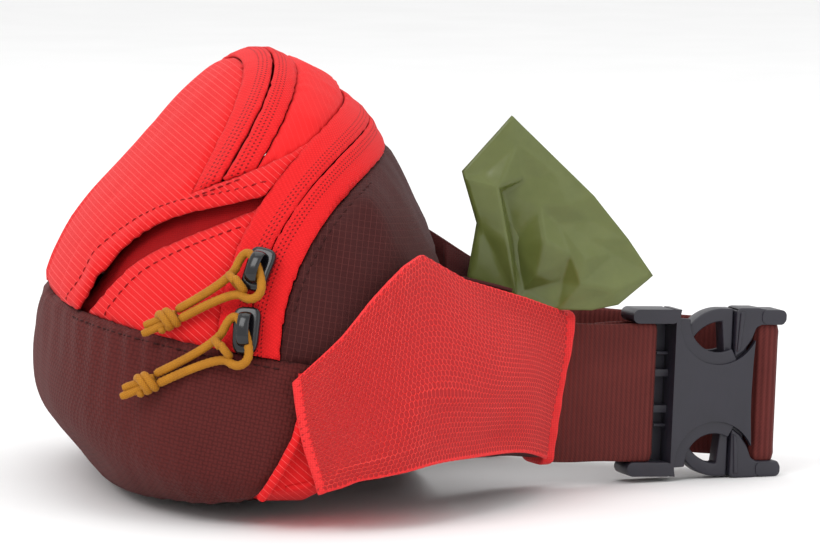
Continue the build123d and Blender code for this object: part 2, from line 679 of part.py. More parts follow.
FILM_X, FILM = 39.5, 0.8
FILM_OUTLINE = [
    (87.0, 36), (94.5, 36), (94.5, 51.8), (104, 52.2), (115.5, 52.6), (123.4, 58.4), (104, 80), (85.6, 101),
    (78, 93), (71.8, 86), (74.5, 64), (84, 60.4), (87.0, 57),
]  # fmt: skip
with BuildPart() as film:
    with BuildSketch(Plane.YZ.offset(FILM_X)):
        with BuildLine():
            Polyline(*FILM_OUTLINE, close=True)
        make_face()
    extrude(amount=FILM)
finish("waste_bag_film", film.part)
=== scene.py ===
import math

import bmesh
import bpy
import numpy as np
from mathutils import Matrix, Vector, geometry, noise
from mathutils.bvhtree import BVHTree
from mathutils.kdtree import KDTree


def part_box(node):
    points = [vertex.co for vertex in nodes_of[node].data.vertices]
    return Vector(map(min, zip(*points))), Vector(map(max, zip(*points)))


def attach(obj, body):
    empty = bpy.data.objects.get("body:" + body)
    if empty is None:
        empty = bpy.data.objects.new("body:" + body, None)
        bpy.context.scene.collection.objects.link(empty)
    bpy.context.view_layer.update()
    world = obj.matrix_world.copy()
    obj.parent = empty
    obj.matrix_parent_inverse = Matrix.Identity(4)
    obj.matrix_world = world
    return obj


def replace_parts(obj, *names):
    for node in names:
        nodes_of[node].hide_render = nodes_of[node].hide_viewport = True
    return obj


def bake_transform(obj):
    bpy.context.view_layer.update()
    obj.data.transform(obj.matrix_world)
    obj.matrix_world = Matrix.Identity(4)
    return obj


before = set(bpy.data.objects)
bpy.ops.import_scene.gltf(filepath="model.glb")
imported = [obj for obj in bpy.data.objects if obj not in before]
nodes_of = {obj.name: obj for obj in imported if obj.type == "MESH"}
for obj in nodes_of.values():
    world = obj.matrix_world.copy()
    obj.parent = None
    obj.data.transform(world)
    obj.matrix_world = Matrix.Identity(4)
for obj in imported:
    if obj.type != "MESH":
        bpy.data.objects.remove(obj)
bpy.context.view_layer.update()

MM = 0.001

# ------------------------------------------------------------------ camera
AZIMUTH, ELEVATION = math.radians(84.4), math.radians(8.0)
DISTANCE = 1600.0  # mm, from the origin
AIM_RIGHT, AIM_UP = 62.1, 54.4  # mm, where the view's middle falls beside the origin
LENS = 253.8
to_camera = Vector((
    math.sin(AZIMUTH) * math.cos(ELEVATION), -math.cos(AZIMUTH) * math.cos(ELEVATION), math.sin(ELEVATION),
))
rightward = Vector((math.cos(AZIMUTH), math.sin(AZIMUTH), 0))
upward = rightward.cross(-to_camera)
camera = bpy.data.objects.new("camera", bpy.data.cameras.new("camera"))
bpy.context.scene.collection.objects.link(camera)
camera.location = to_camera * DISTANCE * MM
aim = (rightward * AIM_RIGHT + upward * AIM_UP) * MM
camera.rotation_euler = (aim - camera.location).to_track_quat("-Z", "Y").to_euler()
camera.data.lens = LENS
camera.data.clip_start = 0.02
bpy.context.scene.camera = camera


# ------------------------------------------------------------------ node helpers
def linear(r, g, b):
    """A colour given as 0 to 255 sRGB."""
    values = (((c / 255 + 0.055) / 1.055) ** 2.4 if c > 10 else c / 255 / 12.92 for c in (r, g, b))
    return (*values, 1.0)


class Val:
    """A value in a material's node tree, with arithmetic."""

    def __init__(self, tree, socket):
        self.tree, self.socket = tree, socket

    def math(self, operation, *others):
        node = self.tree.nodes.new("ShaderNodeMath")
        node.operation = operation
        for socket, value in zip(node.inputs, (self, *others)):
            if isinstance(value, Val):
                self.tree.links.new(value.socket, socket)
            else:
                socket.default_value = value
        return Val(self.tree, node.outputs[0])

    def __add__(self, other):
        return self.math("ADD", other)

    def __sub__(self, other):
        return self.math("SUBTRACT", other)

    def __mul__(self, other):
        return self.math("MULTIPLY", other)

    def __truediv__(self, other):
        return self.math("DIVIDE", other)

    def sin(self):
        return self.math("SINE")

    def abs(self):
        return self.math("ABSOLUTE")

    def above(self, limit):
        return self.math("GREATER_THAN", limit)

    def wave(self, pitch, phase=0.0):
        """A sine of the given pitch, from 0 to 1."""
        return ((self * (2 * math.pi / pitch)) + phase).sin() * 0.5 + 0.5


class Finish:
    """One material being built: its tree, shader and coordinates in millimetres."""

    def __init__(self, name, roughness, **sockets):
        self.material = bpy.data.materials.new(name)
        self.material.use_nodes = True
        self.tree = self.material.node_tree
        self.shader = self.tree.nodes["Principled BSDF"]
        self.shader.inputs["Roughness"].default_value = roughness
        for key, value in sockets.items():
            self.shader.inputs[key.replace("_", " ")].default_value = value
        self.heights = []

    def coordinates(self, kind="UV"):
        """u, v and w in millimetres: along the cloth for UV, in the frame for Object."""
        texture = self.tree.nodes.new("ShaderNodeTexCoord")
        split = self.tree.nodes.new("ShaderNodeSeparateXYZ")
        self.tree.links.new(texture.outputs[kind], split.inputs[0])
        scale = 100.0 if kind == "UV" else 1000.0
        return [Val(self.tree, s) * scale for s in split.outputs]

    def noise(self, size, detail=2.0, kind="Object", stretch=(1, 1, 1)):
        """Noise from 0 to 1 with features about size millimetres wide."""
        texture = self.tree.nodes.new("ShaderNodeTexCoord")
        mapping = self.tree.nodes.new("ShaderNodeMapping")
        per = (100.0 if kind == "UV" else 1000.0) / size
        mapping.inputs["Scale"].default_value = [per * s for s in stretch]
        node = self.tree.nodes.new("ShaderNodeTexNoise")
        node.inputs["Scale"].default_value = 1.0
        node.inputs["Detail"].default_value = detail
        self.tree.links.new(texture.outputs[kind], mapping.inputs[0])
        self.tree.links.new(mapping.outputs[0], node.inputs["Vector"])
        return Val(self.tree, node.outputs["Fac"])

    def over_axes(self, pattern, turn=0.0):
        """A cloth pattern laid along each of the frame's planes, and mixed by which way the surface faces."""
        x, y, z = self.coordinates("Object")
        c, s = math.cos(turn), math.sin(turn)
        y, z = y * c + z * s, z * c - y * s
        texture = self.tree.nodes.new("ShaderNodeTexCoord")
        split = self.tree.nodes.new("ShaderNodeSeparateXYZ")
        self.tree.links.new(texture.outputs["Normal"], split.inputs[0])
        nx, ny, nz = (Val(self.tree, k) for k in split.outputs)
        ny, nz = ny * c + nz * s, nz * c - ny * s
        weights = [(n * n) * (n * n) for n in (nx, ny, nz)]
        total = weights[0] + weights[1] + weights[2] + 0.0001
        parts = [pattern(y, z) * weights[0], pattern(x, z) * weights[1], pattern(x, y) * weights[2]]
        return (parts[0] + parts[1] + parts[2]) / total

    def mix(self, factor, a, b):
        node = self.tree.nodes.new("ShaderNodeMix")
        node.data_type = "RGBA"
        node.clamp_factor = True
        self.tree.links.new(factor.socket, node.inputs["Factor"])
        for key, value in (("A", a), ("B", b)):
            socket = [s for s in node.inputs if s.name == key and s.type == "RGBA"][0]
            if isinstance(value, tuple):
                socket.default_value = value
            else:
                self.tree.links.new(value, socket)
        return [s for s in node.outputs if s.type == "RGBA"][0]

    def colour(self, socket):
        self.tree.links.new(socket, self.shader.inputs["Base Color"])

    def bump(self, height, distance, strength=1.0):
        """Adds relief of the given depth in millimetres."""
        node = self.tree.nodes.new("ShaderNodeBump")
        node.inputs["Distance"].default_value = distance * MM
        node.inputs["Strength"].default_value = strength
        self.tree.links.new(height.socket, node.inputs["Height"])
        if self.heights:
            self.tree.links.new(self.heights[-1], node.inputs["Normal"])
        self.heights.append(node.outputs[0])
        self.tree.links.new(node.outputs[0], self.shader.inputs["Normal"])

    def rough(self, value):
        self.tree.links.new(value.socket, self.shader.inputs["Roughness"])


RED = (226, 30, 32)  # sRGB, of every red cloth


def weave(u, v, pitch):
    """Height of a plain weave: threads over and under each other."""
    a, b = (u * (math.pi / pitch)).sin(), (v * (math.pi / pitch)).sin()
    over = (a * b).above(0.0)
    return a.abs() * over + b.abs() * (over * -1.0 + 1.0)


def grid_lines(u, pitch, share):
    """1 on thin lines a pitch apart, else 0."""
    return u.wave(pitch).above(1.0 - share)


def ripstop(name, dark, base, light, turn, lines_of, line_depth):
    """Plain fine cloth with thin reinforcing threads."""
    f = Finish(name, 0.78, Sheen_Weight=0.02, Sheen_Roughness=0.5, Specular_IOR_Level=0.2)
    fine = f.over_axes(lambda p, q: weave(p, q, 0.36), turn)
    blotch, speck = f.noise(14.0, 3.0), f.noise(0.5, 2.0)
    lines = lines_of(f)
    shade = f.mix(blotch * 0.35 + speck * 0.3 + fine * 0.25 - 0.12, linear(*dark), linear(*base))
    f.colour(f.mix(lines * (blotch * 0.5 + 0.2), shade, linear(*light)))
    f.bump(fine, 0.06, 0.7)
    f.bump(lines, line_depth, 0.4)
    f.bump(speck, 0.1, 0.35)
    return f.material


def one_way(share, along_y, along_z, pitch=1.5):
    """Reinforcing threads in one direction, square to the given direction of the side view."""
    def lines(f):
        _, y, z = f.coordinates("Object")
        return grid_lines(y * along_y + z * along_z, pitch, share)
    return lines


def square_grid(share, turn, pitch=1.62, fainter=0.55):
    """Reinforcing threads both ways, one way a little fainter and further apart."""
    def lines(f):
        def pattern(p, q):
            return grid_lines(p, pitch, share).math("MAXIMUM", grid_lines(q, pitch * 1.02, share) * fainter)
        return f.over_axes(pattern, turn)
    return lines


def make_ripstops():
    slant, tilt = math.radians(42), math.radians(-10)
    return {
        "red_ripstop": ripstop(
            "red_ripstop", (206, 16, 20), RED, (255, 116, 112), slant, one_way(0.022, 0.66, 0.75), 0.03),
        "red_ripstop_top": ripstop(
            "red_ripstop_top", (214, 22, 25), RED, (238, 52, 52), slant, one_way(0.02, 0.97, 0.23), 0.03),
        "maroon_ripstop": ripstop("maroon_ripstop", (46, 13, 13), (76, 26, 25), (112, 58, 53), tilt,
                                  square_grid(0.014, tilt), 0.05),
    }


def base_weave():
    """Heavy basket weave of the base."""
    f = Finish("maroon_weave", 0.85, Sheen_Weight=0.02, Sheen_Roughness=0.5, Specular_IOR_Level=0.18)
    slub, blotch = f.noise(1.4, 2.0, "Object", (1, 1, 0.4)), f.noise(18.0, 3.0)
    threads = f.over_axes(lambda p, q: weave(p, q, 1.15), math.radians(-12))
    f.colour(f.mix(threads * 0.5 + blotch * 0.3 + slub * 0.2 - 0.1, linear(60, 17, 17), linear(99, 38, 35)))
    f.bump(threads, 0.14, 0.8)
    f.bump(slub, 0.1, 0.4)
    return f.material


def zip_tape():
    """Twill, with rows of small stitches beside the line where the tapes meet; the stitch holes are darkened
    with painted shade.
    """
    f = Finish("zip_tape", 0.8, Sheen_Weight=0.02, Specular_IOR_Level=0.2)
    u, v, _ = f.coordinates()
    side = v.abs()
    twill = (u + v).wave(0.95) * (u - v).wave(1.1)
    band = side.math("LESS_THAN", 3.4) * side.above(0.75)
    shift = side.above(1.62) * 0.6 + side.above(2.52) * 0.6
    dots = (u + shift).wave(1.2) * (side - 1.2).wave(0.9)
    holes_with_painted_shade = dots.above(0.6) * band
    speck = f.noise(0.6, 2.0)
    base = f.mix(twill * 0.5 + speck * 0.4, linear(196, 14, 18), linear(240, 36, 38))
    # the stitch holes take a deep red: painted shade in them
    f.colour(f.mix(holes_with_painted_shade * 0.85, base, linear(96, 2, 6)))
    f.bump(twill, 0.12, 0.8)
    f.bump(holes_with_painted_shade * -1.0, 0.2, 0.8)
    return f.material


def webbing_threads():
    """Woven webbing: the ribs are in the mesh, the threads here."""
    f = Finish("webbing", 0.75, Sheen_Weight=0.02, Sheen_Roughness=0.4, Specular_IOR_Level=0.2)
    u, v, _ = f.coordinates()
    threads = (u * 2 * 0.69 + v).wave(1.0) * 0.35 + u.wave(1.45) * 0.65
    fibre, blotch = f.noise(0.35, 2.0), f.noise(12.0, 2.0)
    f.colour(f.mix(threads * 0.4 + fibre * 0.4 + blotch * 0.3 - 0.1, linear(58, 16, 16), linear(118, 52, 47)))
    f.bump(threads, 0.12, 0.8)
    f.bump(fibre, 0.08, 0.5)
    return f.material


def wing_materials():
    """Spacer mesh: knitted yarn on the ribs of the honeycomb, the ground behind in a darker red that is
    painted shade, and the folded hem.
    """
    yarn_side = Finish("red_mesh", 0.7, Sheen_Weight=0.08, Sheen_Roughness=0.4, Specular_IOR_Level=0.25)
    f = yarn_side
    yarn, blotch = f.noise(0.4, 2.0), f.noise(16.0, 2.0)
    f.colour(f.mix(yarn * 0.6 + blotch * 0.4, linear(240, 60, 60), linear(255, 122, 114)))
    f.bump(yarn, 0.1, 0.6)
    hem = Finish("wing_hem", 0.7, Specular_IOR_Level=0.2, Sheen_Weight=0.05, Sheen_Roughness=0.4)
    f = hem
    knit, yarn = f.over_axes(lambda p, q: weave(p, q, 0.62)), f.noise(0.5, 2.0)
    f.colour(f.mix(knit * 0.5 + yarn * 0.4, linear(206, 26, 30), linear(246, 62, 62)))
    f.bump(knit, 0.12, 0.7)
    f.bump(yarn, 0.08, 0.5)
    # the ground's red is darkened: painted shade in the honeycomb's openings
    ground = Finish("red_mesh_ground_painted_shade", 0.85)
    f = ground
    yarn = f.noise(0.8, 2.0)
    f.colour(f.mix(yarn, linear(150, 10, 14), linear(184, 20, 24)))
    f.bump(yarn, 0.1, 0.5)
    return {"red_mesh": yarn_side.material, "wing_hem": hem.material, "red_mesh_ground_painted_shade": ground.material}


def plain_weave(name, low, high, pitch, specular=0.2, **sockets):
    """A lining or backing cloth in one colour."""
    f = Finish(name, 0.85, Specular_IOR_Level=specular, **sockets)
    cloth, blotch = f.over_axes(lambda p, q: weave(p, q, pitch)), f.noise(12.0, 3.0)
    f.colour(f.mix(cloth * 0.4 + blotch * 0.5, linear(*low), linear(*high)))
    f.bump(cloth, 0.12, 0.8)
    return f.material


def foam():
    f = Finish("foam", 0.95, Specular_IOR_Level=0.2)
    cells, blotch = f.noise(0.7, 4.0), f.noise(9.0, 2.0)
    f.colour(f.mix(cells * 0.6 + blotch * 0.3, linear(40, 40, 43), linear(82, 82, 86)))
    f.bump(cells, 0.3, 0.8)
    return f.material


def moulded_plastic():
    """Plastic with a fine spark-eroded grain, worn a little in patches."""
    f = Finish("charcoal_plastic", 0.42, Specular_IOR_Level=0.5)
    grain, wear = f.noise(0.28, 2.0), f.noise(6.0, 3.0)
    f.colour(f.mix(wear * 0.8 + grain * 0.2, linear(27, 26, 35), linear(41, 39, 50)))
    f.rough(wear * 0.16 + grain * 0.1 + 0.30)
    f.bump(grain, 0.03, 0.5)
    return f.material


def painted_metal():
    f = Finish("black_metal", 0.2, Coat_Weight=0.2, Coat_Roughness=0.08, Specular_IOR_Level=0.4)
    pits, smear = f.noise(0.9, 3.0), f.noise(4.0, 2.0)
    f.colour(f.mix(smear, linear(8, 8, 10), linear(22, 22, 26)))
    f.rough(smear * 0.14 + 0.10)
    f.bump(pits, 0.02, 0.4)
    return f.material


def cord_braid():
    f = Finish("mustard_cord", 0.72, Sheen_Weight=0.05, Sheen_Roughness=0.4, Specular_IOR_Level=0.3)
    u, v, _ = f.coordinates()
    fibre, blotch = f.noise(0.3, 2.0), f.noise(3.0, 2.0)
    braid = (u + v).wave(0.62) * (u - v).wave(0.62)
    f.colour(f.mix(braid * 0.5 + fibre * 0.4 + blotch * 0.3 - 0.1, linear(128, 76, 6), linear(206, 140, 22)))
    f.bump(fibre, 0.06, 0.6)
    return f.material


def film_finish():
    """Thin plastic film that lets some light through."""
    f = Finish("green_film", 0.34, Specular_IOR_Level=0.5, Coat_Weight=0.15)
    cloud, fine = f.noise(9.0, 3.0), f.noise(1.8, 3.0)
    f.colour(f.mix(cloud * 0.7 + fine * 0.3, linear(88, 98, 46), linear(116, 124, 66)))
    f.rough(cloud * 0.25 + 0.22)
    f.bump(fine, 0.05, 0.4)
    f.bump(cloud, 0.3, 0.3)
    translucent = f.tree.nodes.new("ShaderNodeBsdfTranslucent")
    translucent.inputs["Color"].default_value = linear(120, 140, 40)
    mixer = f.tree.nodes.new("ShaderNodeMixShader")
    mixer.inputs[0].default_value = 0.22
    output = f.tree.nodes["Material Output"]
    f.tree.links.new(f.shader.outputs[0], mixer.inputs[1])
    f.tree.links.new(translucent.outputs[0], mixer.inputs[2])
    f.tree.links.new(mixer.outputs[0], output.inputs["Surface"])
    return f.material


def card():
    f = Finish("roll_card", 0.85)
    fibre = f.noise(1.2, 4.0, "Object", (1, 1, 0.3))
    f.colour(f.mix(fibre, linear(128, 98, 66), linear(176, 144, 104)))
    f.bump(fibre, 0.08, 0.6)
    return f.material


def mottled(name, roughness, size, low, high, **sockets):
    """One colour, mottled: the floor and the sewing threads."""
    f = Finish(name, roughness, **sockets)
    f.colour(f.mix(f.noise(size), linear(*low), linear(*high)))
    return f.material


def make_materials():
    return {
        **make_ripstops(),
        "maroon_weave": base_weave(),
        "zip_tape": zip_tape(),
        "webbing": webbing_threads(),
        **wing_materials(),
        "back_fabric": plain_weave("back_fabric", (40, 12, 13), (92, 34, 33), 1.1, Sheen_Weight=0.02),
        "lining": plain_weave("lining", (44, 13, 14), (84, 30, 29), 0.5, Sheen_Weight=0.02),
        # the pocket's red lining in a darker red: painted shade inside the pocket
        "pocket_inner_painted_shade": plain_weave("pocket_inner_painted_shade", (104, 6, 9), (176, 16, 20), 0.5, 0.15),
        "foam": foam(),
        "charcoal_plastic": moulded_plastic(),
        "black_metal": painted_metal(),
        "mustard_cord": cord_braid(),
        "green_film": film_finish(),
        "roll_card": card(),
        "floor": mottled("floor", 0.9, 60.0, (236, 236, 236), (242, 242, 242)),
        "red_thread": mottled("red_thread", 0.7, 0.5, (112, 4, 8), (158, 14, 18), Specular_IOR_Level=0.2),
        "maroon_thread": mottled("maroon_thread", 0.7, 0.5, (36, 9, 9), (64, 22, 20), Specular_IOR_Level=0.2),
    }


materials = make_materials()


# ------------------------------------------------------------------ mesh helpers
def new_mesh(name, points, faces, slot, body="pack", uv=None, smooth=True, material=None):
    """A mesh piece from points in millimetres, riding on a body."""
    mesh = bpy.data.meshes.new(name)
    mesh.from_pydata([tuple(c * MM for c in p) for p in points], [], [tuple(f) for f in faces])
    if uv is not None:
        layer = mesh.uv_layers.new(name="UVMap")
        loops = np.empty(len(mesh.loops), int)
        mesh.loops.foreach_get("vertex_index", loops)
        layer.data.foreach_set("uv", (np.asarray(uv, float)[loops] / 100.0).ravel())
    mesh.polygons.foreach_set("use_smooth", [smooth] * len(mesh.polygons))
    mesh.update()
    obj = bpy.data.objects.new(name, mesh)
    bpy.context.scene.collection.objects.link(obj)
    mesh.materials.append(materials[material or slot])
    if body:
        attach(obj, body)
    return obj


def grid_faces(rows, columns, close_rows=False, close_columns=False, flip=False):
    """Quads over a grid of points stored row by row."""
    faces = []
    for i in range(rows if close_rows else rows - 1):
        for j in range(columns if close_columns else columns - 1):
            a, b = i * columns + j, i * columns + (j + 1) % columns
            c, d = ((i + 1) % rows) * columns + (j + 1) % columns, ((i + 1) % rows) * columns + j
            faces.append((a, d, c, b) if flip else (a, b, c, d))
    return faces


def use(obj, kind, name, **settings):
    modifier = obj.modifiers.new(name, kind)
    for key, value in settings.items():
        setattr(modifier, key, value)
    return modifier


def frames_along(path, first=None):
    """Tangent, side and up at each point of a path, turned as little as possible."""
    path = np.asarray(path, float)
    tangent = np.gradient(path, axis=0)
    tangent /= np.linalg.norm(tangent, axis=1)[:, None]
    side = np.cross(tangent[0], first if first is not None else (0.3, 0.2, 1.0))
    side /= np.linalg.norm(side)
    sides = [side]
    for t in tangent[1:]:
        side = sides[-1] - t * np.dot(t, sides[-1])
        sides.append(side / np.linalg.norm(side))
    sides = np.array(sides)
    return path, tangent, sides, np.cross(tangent, sides)


def length_along(path):
    return np.concatenate([[0], np.cumsum(np.linalg.norm(np.diff(np.asarray(path), axis=0), axis=1))])


def resample(path, step):
    """The path's points a step apart."""
    path = np.asarray(path, float)
    s = length_along(path)
    count = max(3, int(round(s[-1] / step)) + 1)
    at = np.linspace(0, s[-1], count)
    return np.stack([np.interp(at, s, path[:, k]) for k in range(path.shape[1])], axis=1)


def swept(path, around, radius_at):
    """Points, faces and uv of a round section swept along a path.

    radius_at(s, whole, angle) gives the radius there, and the radius that the uv is rolled out by.
    """
    path, _, sides, ups = frames_along(path)
    s = length_along(path)
    points, uv = [], []
    for i, p in enumerate(path):
        for j in range(around):
            a = 2 * math.pi * j / around
            r, flat = radius_at(s[i], s[-1], a)
            points.append(p + (sides[i] * math.cos(a) + ups[i] * math.sin(a)) * r)
            uv.append((s[i], a * flat))
    return points, grid_faces(len(path), around, close_columns=True), uv


def braided(path, radius, strands=8, lay=5.2, relief=0.16, around=20, ends=True):
    """Points, faces and uv of a braided cord: two sets of strands winding both ways."""
    path = resample(path, 0.42)

    def radius_at(s, whole, a):
        taper = min(1.0, 0.72 + 0.28 * min(s, whole - s) / 0.9) if ends else 1.0
        turn = 2 * math.pi * s / lay
        one, other = math.cos(strands / 2 * (a - turn)), math.cos(strands / 2 * (a + turn))
        return (radius - relief / 2 + relief * 0.5 * max(one, other)) * taper, radius

    points, faces, uv = swept(path, around, radius_at)
    for start, centre, step in ((0, path[0], -1), ((len(path) - 1) * around, path[-1], 1)):
        points.append(centre)
        uv.append((0, 0))
        tip = len(points) - 1
        for j in range(around):
            a, b = start + j, start + (j + 1) % around
            faces.append((a, b, tip) if step > 0 else (b, a, tip))
    return points, faces, uv


# ------------------------------------------------------------------ cord pulls
CORD_R = 1.2
PULLS = {
    "upper_pull": dict(
        length=0.0644,
        route=[(84.17, -14.11, 57.03), (90.33, 6.12, 68.73), (91.24, 8.7, 69.96), (96.67, 11.03, 61.01),
               (95.31, 7.16, 59.17), (85.53, -13.52, 54.78)],
    ),
    "lower_pull": dict(
        length=0.0705,
        route=[(86.04, -20.01, 40.53), (95.43, 2.26, 52.7), (96.59, 4.83, 53.85), (100.98, 7.2, 44.11),
               (99.24, 3.34, 42.39), (87.13, -19.43, 38.13)],
    ),
    "front_pull": dict(
        length=0.0606,
        route=[(-72.66, -9.15, 76.28), (-63.34, 1.98, 95.51), (-62.4, 3.53, 97.9), (-68.64, 8.0, 97.44),
               (-70.04, 5.67, 93.85), (-74.85, -7.58, 76.12)],
    ),
}


def spline_through(name, points):
    """The points of a NURBS curve with the given control points, in millimetres."""
    data = bpy.data.curves.new(name, "CURVE")
    data.dimensions = "3D"
    data.resolution_u = 24
    line = data.splines.new("NURBS")
    line.points.add(len(points) - 1)
    for point, (x, y, z) in zip(line.points, points):
        point.co = (x * MM, y * MM, z * MM, 1.0)
    line.order_u = 3
    line.use_endpoint_u = True
    obj = bpy.data.objects.new(name, data)
    bpy.context.scene.collection.objects.link(obj)
    bpy.context.view_layer.update()
    mesh = bpy.data.meshes.new_from_object(obj)
    read = [tuple(c / MM for c in v.co) for v in mesh.vertices]
    bpy.data.objects.remove(obj)
    bpy.data.curves.remove(data)
    bpy.data.meshes.remove(mesh)
    return np.array(read)


KNOT_TURNS, KNOT_R, KNOT_START, KNOT_LENGTH = 1.42, 2.05, 1.6, 3.5
KNOT_STRAND_R, STUB_R = 1.14, 1.12
STUBS = ((-0.7, 11.0), (0.75, 9.8))  # how far each strand's end lies off the middle, and how far it reaches


def tie(name, start, away, across, body):
    """The pulls' overhand knot: both strands wound round themselves, and the stub beyond."""
    start, away, across = np.array(start), np.array(away), np.array(across)
    away /= np.linalg.norm(away)
    across -= away * across.dot(away)
    across /= np.linalg.norm(across)
    third = np.cross(away, across)
    parts = []
    for offset in (-0.95, 0.95):
        turns = []
        for k in range(61):
            t = k / 60
            a = 2 * math.pi * KNOT_TURNS * t + 0.9
            along = KNOT_START + KNOT_LENGTH * t + 0.75 * math.sin(a + 0.6) + offset
            around = across * KNOT_R * math.cos(a) + third * KNOT_R * 0.86 * math.sin(a)
            turns.append(start + away * along + around)
        parts.append(braided(turns, KNOT_STRAND_R, around=14))
    for offset, reach in STUBS:
        stub = [
            start + away * (0.4 + (reach - 0.4) * k / 12) + across * offset * (1.0 + 0.35 * k / 12)
            + third * 0.35 * math.sin(k / 4)
            for k in range(13)
        ]
        parts.append(braided(stub, STUB_R, around=14))
    points, faces, uv = [], [], []
    for p, f, t in parts:
        faces += [tuple(i + len(points) for i in face) for face in f]
        points += list(p)
        uv += list(t)
    return new_mesh(name, points, faces, "mustard_cord", body, uv)


KNOT_SHIFT = np.array((0.8, 3.4, -2.2))  # of the near side's two knots, from part.py's places
STRAND_OFF = 1.32  # half the distance between the two strands


def drawn_together(route):
    """The route with its two strands side by side from close behind the slider's bridge."""
    p = [np.array(q) for q in route]
    for end in (0, 5):
        p[end] = p[end] + KNOT_SHIFT * (1 if p[1][0] > 0 else 0)
    root, knot = (p[1] + p[4]) / 2, (p[0] + p[5]) / 2
    beside = (p[0] - p[5]) / np.linalg.norm(p[0] - p[5]) * STRAND_OFF
    near = root + (knot - root) * 0.2
    wide = (p[1] - p[4]) * 0.14
    inner = [p[1] + wide, p[4] - wide]
    drawn = [p[0], near + beside, inner[0], p[2], p[3], inner[1], near - beside, p[5]]
    return drawn, near, knot - root, beside


LARK_WIDE, LARK_DEEP, LARK_STRAND_R = 2.75, 2.25, 1.12


def wrap(name, centre, away, beside, body):
    """The turn of the lark's head that holds both strands together."""
    away, beside = away / np.linalg.norm(away), beside / np.linalg.norm(beside)
    up = np.cross(away, beside)
    turn = []
    for k in range(49):
        a = 2 * math.pi * (k / 48 - 0.5) * 1.04
        climb = 1.3 * math.sin(a + 0.5) + 0.5 * k / 48
        around = beside * LARK_WIDE * math.sin(a) + up * LARK_DEEP * math.cos(a)
        turn.append(centre + around + away * climb)
    points, faces, uv = braided(turn, LARK_STRAND_R, around=14, ends=False)
    return new_mesh(name, points, faces, "mustard_cord", body, uv)


for name, facts in PULLS.items():
    route, near, away, beside = drawn_together(facts["route"])
    path = spline_through(name + "_line", route)
    points, faces, uv = braided(path, CORD_R)
    strands = new_mesh(name + "_strands", points, faces, "mustard_cord", name, uv)
    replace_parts(strands, name + "_cord")
    low, high = (np.array(c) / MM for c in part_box(name + "_knot"))
    drawn = (np.array(facts["route"][0]) + np.array(facts["route"][-1])) / 2
    knot_at, across = (route[0] + route[-1]) / 2, route[0] - route[-1]
    knot = tie(name + "_overhand", knot_at, (low + high) / 2 - drawn, across, name)
    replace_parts(knot, name + "_knot")
    lark = wrap(name + "_lark", near - away / np.linalg.norm(away) * 1.5, away, beside, name)
    exit_at = [c * MM for c in facts["route"][1]]


# ------------------------------------------------------------------ body form, as in part.py, in millimetres
HALF_WIDTH, ROUNDNESS = 104.0, 2.4
CORE = (32.0, 12.0)
BACK_Y = 66.0
FRONT_AND_TOP = [
    (-18, -3), (-37, 10), (-42, 34), (-34, 65), (-8, 97), (20, 118), (44, 107), (61, 81), (72, 58),
]
BACK_FOOT = (70, -3)
SIDE_LIFT = 2.0  # of the underside, beyond the middle
CHIN_IN, CHIN_LIFT = 2.6, 2.0  # how far the low front corner is drawn back and up
SEAM_Z, SEAM_SLOPE = 45.5, -0.167
MAIN_ZIP = (67.6, 42.8, 61.1)
TAPE = 8.0
FOOT_FRONT, FOOT_REAR = (-5.5, 83.8), (10.3, 91.1)
HEAD_FRONT, HEAD_REAR = (14.8, 118.0), (30.3, 118.0)
ZIP_FOOT, ZIP_HEAD = (2.4, 87.5), (22.5, 118.0)
POCKET_EDGE = [(-45, 36), (-33, 52), (-22, 66), (-7, 75), (12, 83), (34, 93)]
PANEL_HEM = [(-45, 36.5), (-33, 53.5), (-21.5, 70), (-10, 77.5), (6, 82.5), (34, 93.5)]
PIPING = [(20.5, 39.5), (20.5, 30), (18.5, 22.5), (14.5, 14.5), (10, 6.5)]


def natural_spline(points, count):
    """Points on the natural cubic spline through the given points."""
    p = np.array(points, float)
    t = length_along(p)
    n, h = len(p), np.diff(t)
    a, b = np.eye(n), np.zeros((n, p.shape[1]))
    for i in range(1, n - 1):
        a[i, i - 1], a[i, i], a[i, i + 1] = h[i - 1], 2 * (h[i - 1] + h[i]), h[i]
        b[i] = 6 * ((p[i + 1] - p[i]) / h[i] - (p[i] - p[i - 1]) / h[i - 1])
    m = np.linalg.solve(a, b)
    s = np.linspace(0, t[-1], count)
    k = np.clip(np.searchsorted(t, s) - 1, 0, n - 2)
    u, hk = (s - t[k])[:, None], h[k][:, None]
    return (
        m[k] * (hk - u) ** 3 / (6 * hk) + m[k + 1] * u**3 / (6 * hk)
        + (p[k] / hk - m[k] * hk / 6) * (hk - u) + (p[k + 1] / hk - m[k + 1] * hk / 6) * u
    )


EDGE, HEM = natural_spline(POCKET_EDGE, 60), natural_spline(PANEL_HEM, 60)
_top = natural_spline(FRONT_AND_TOP, 500)
_loop = np.vstack([_top, np.linspace(_top[-1], BACK_FOOT, 60)[1:], np.linspace(BACK_FOOT, _top[0], 90)[1:]])
_angle = np.unwrap(np.arctan2(_loop[:, 1] - CORE[1], _loop[:, 0] - CORE[0]))[::-1]
_reach = np.hypot(_loop[:, 0] - CORE[0], _loop[:, 1] - CORE[1])[::-1]


def reach_at(angle):
    """Distance from the core to the middle section's outline, at an angle seen from the side."""
    turned = (np.asarray(angle) - _angle[0]) % (2 * math.pi) + _angle[0]
    return np.interp(turned, _angle, _reach)


def soft_floor(value, width):
    """The value, kept from going below nought by a smooth bend of the given half width."""
    return np.where(value < -width, 0.0, np.where(value > width, value, (value + width) ** 2 / (4 * width)))


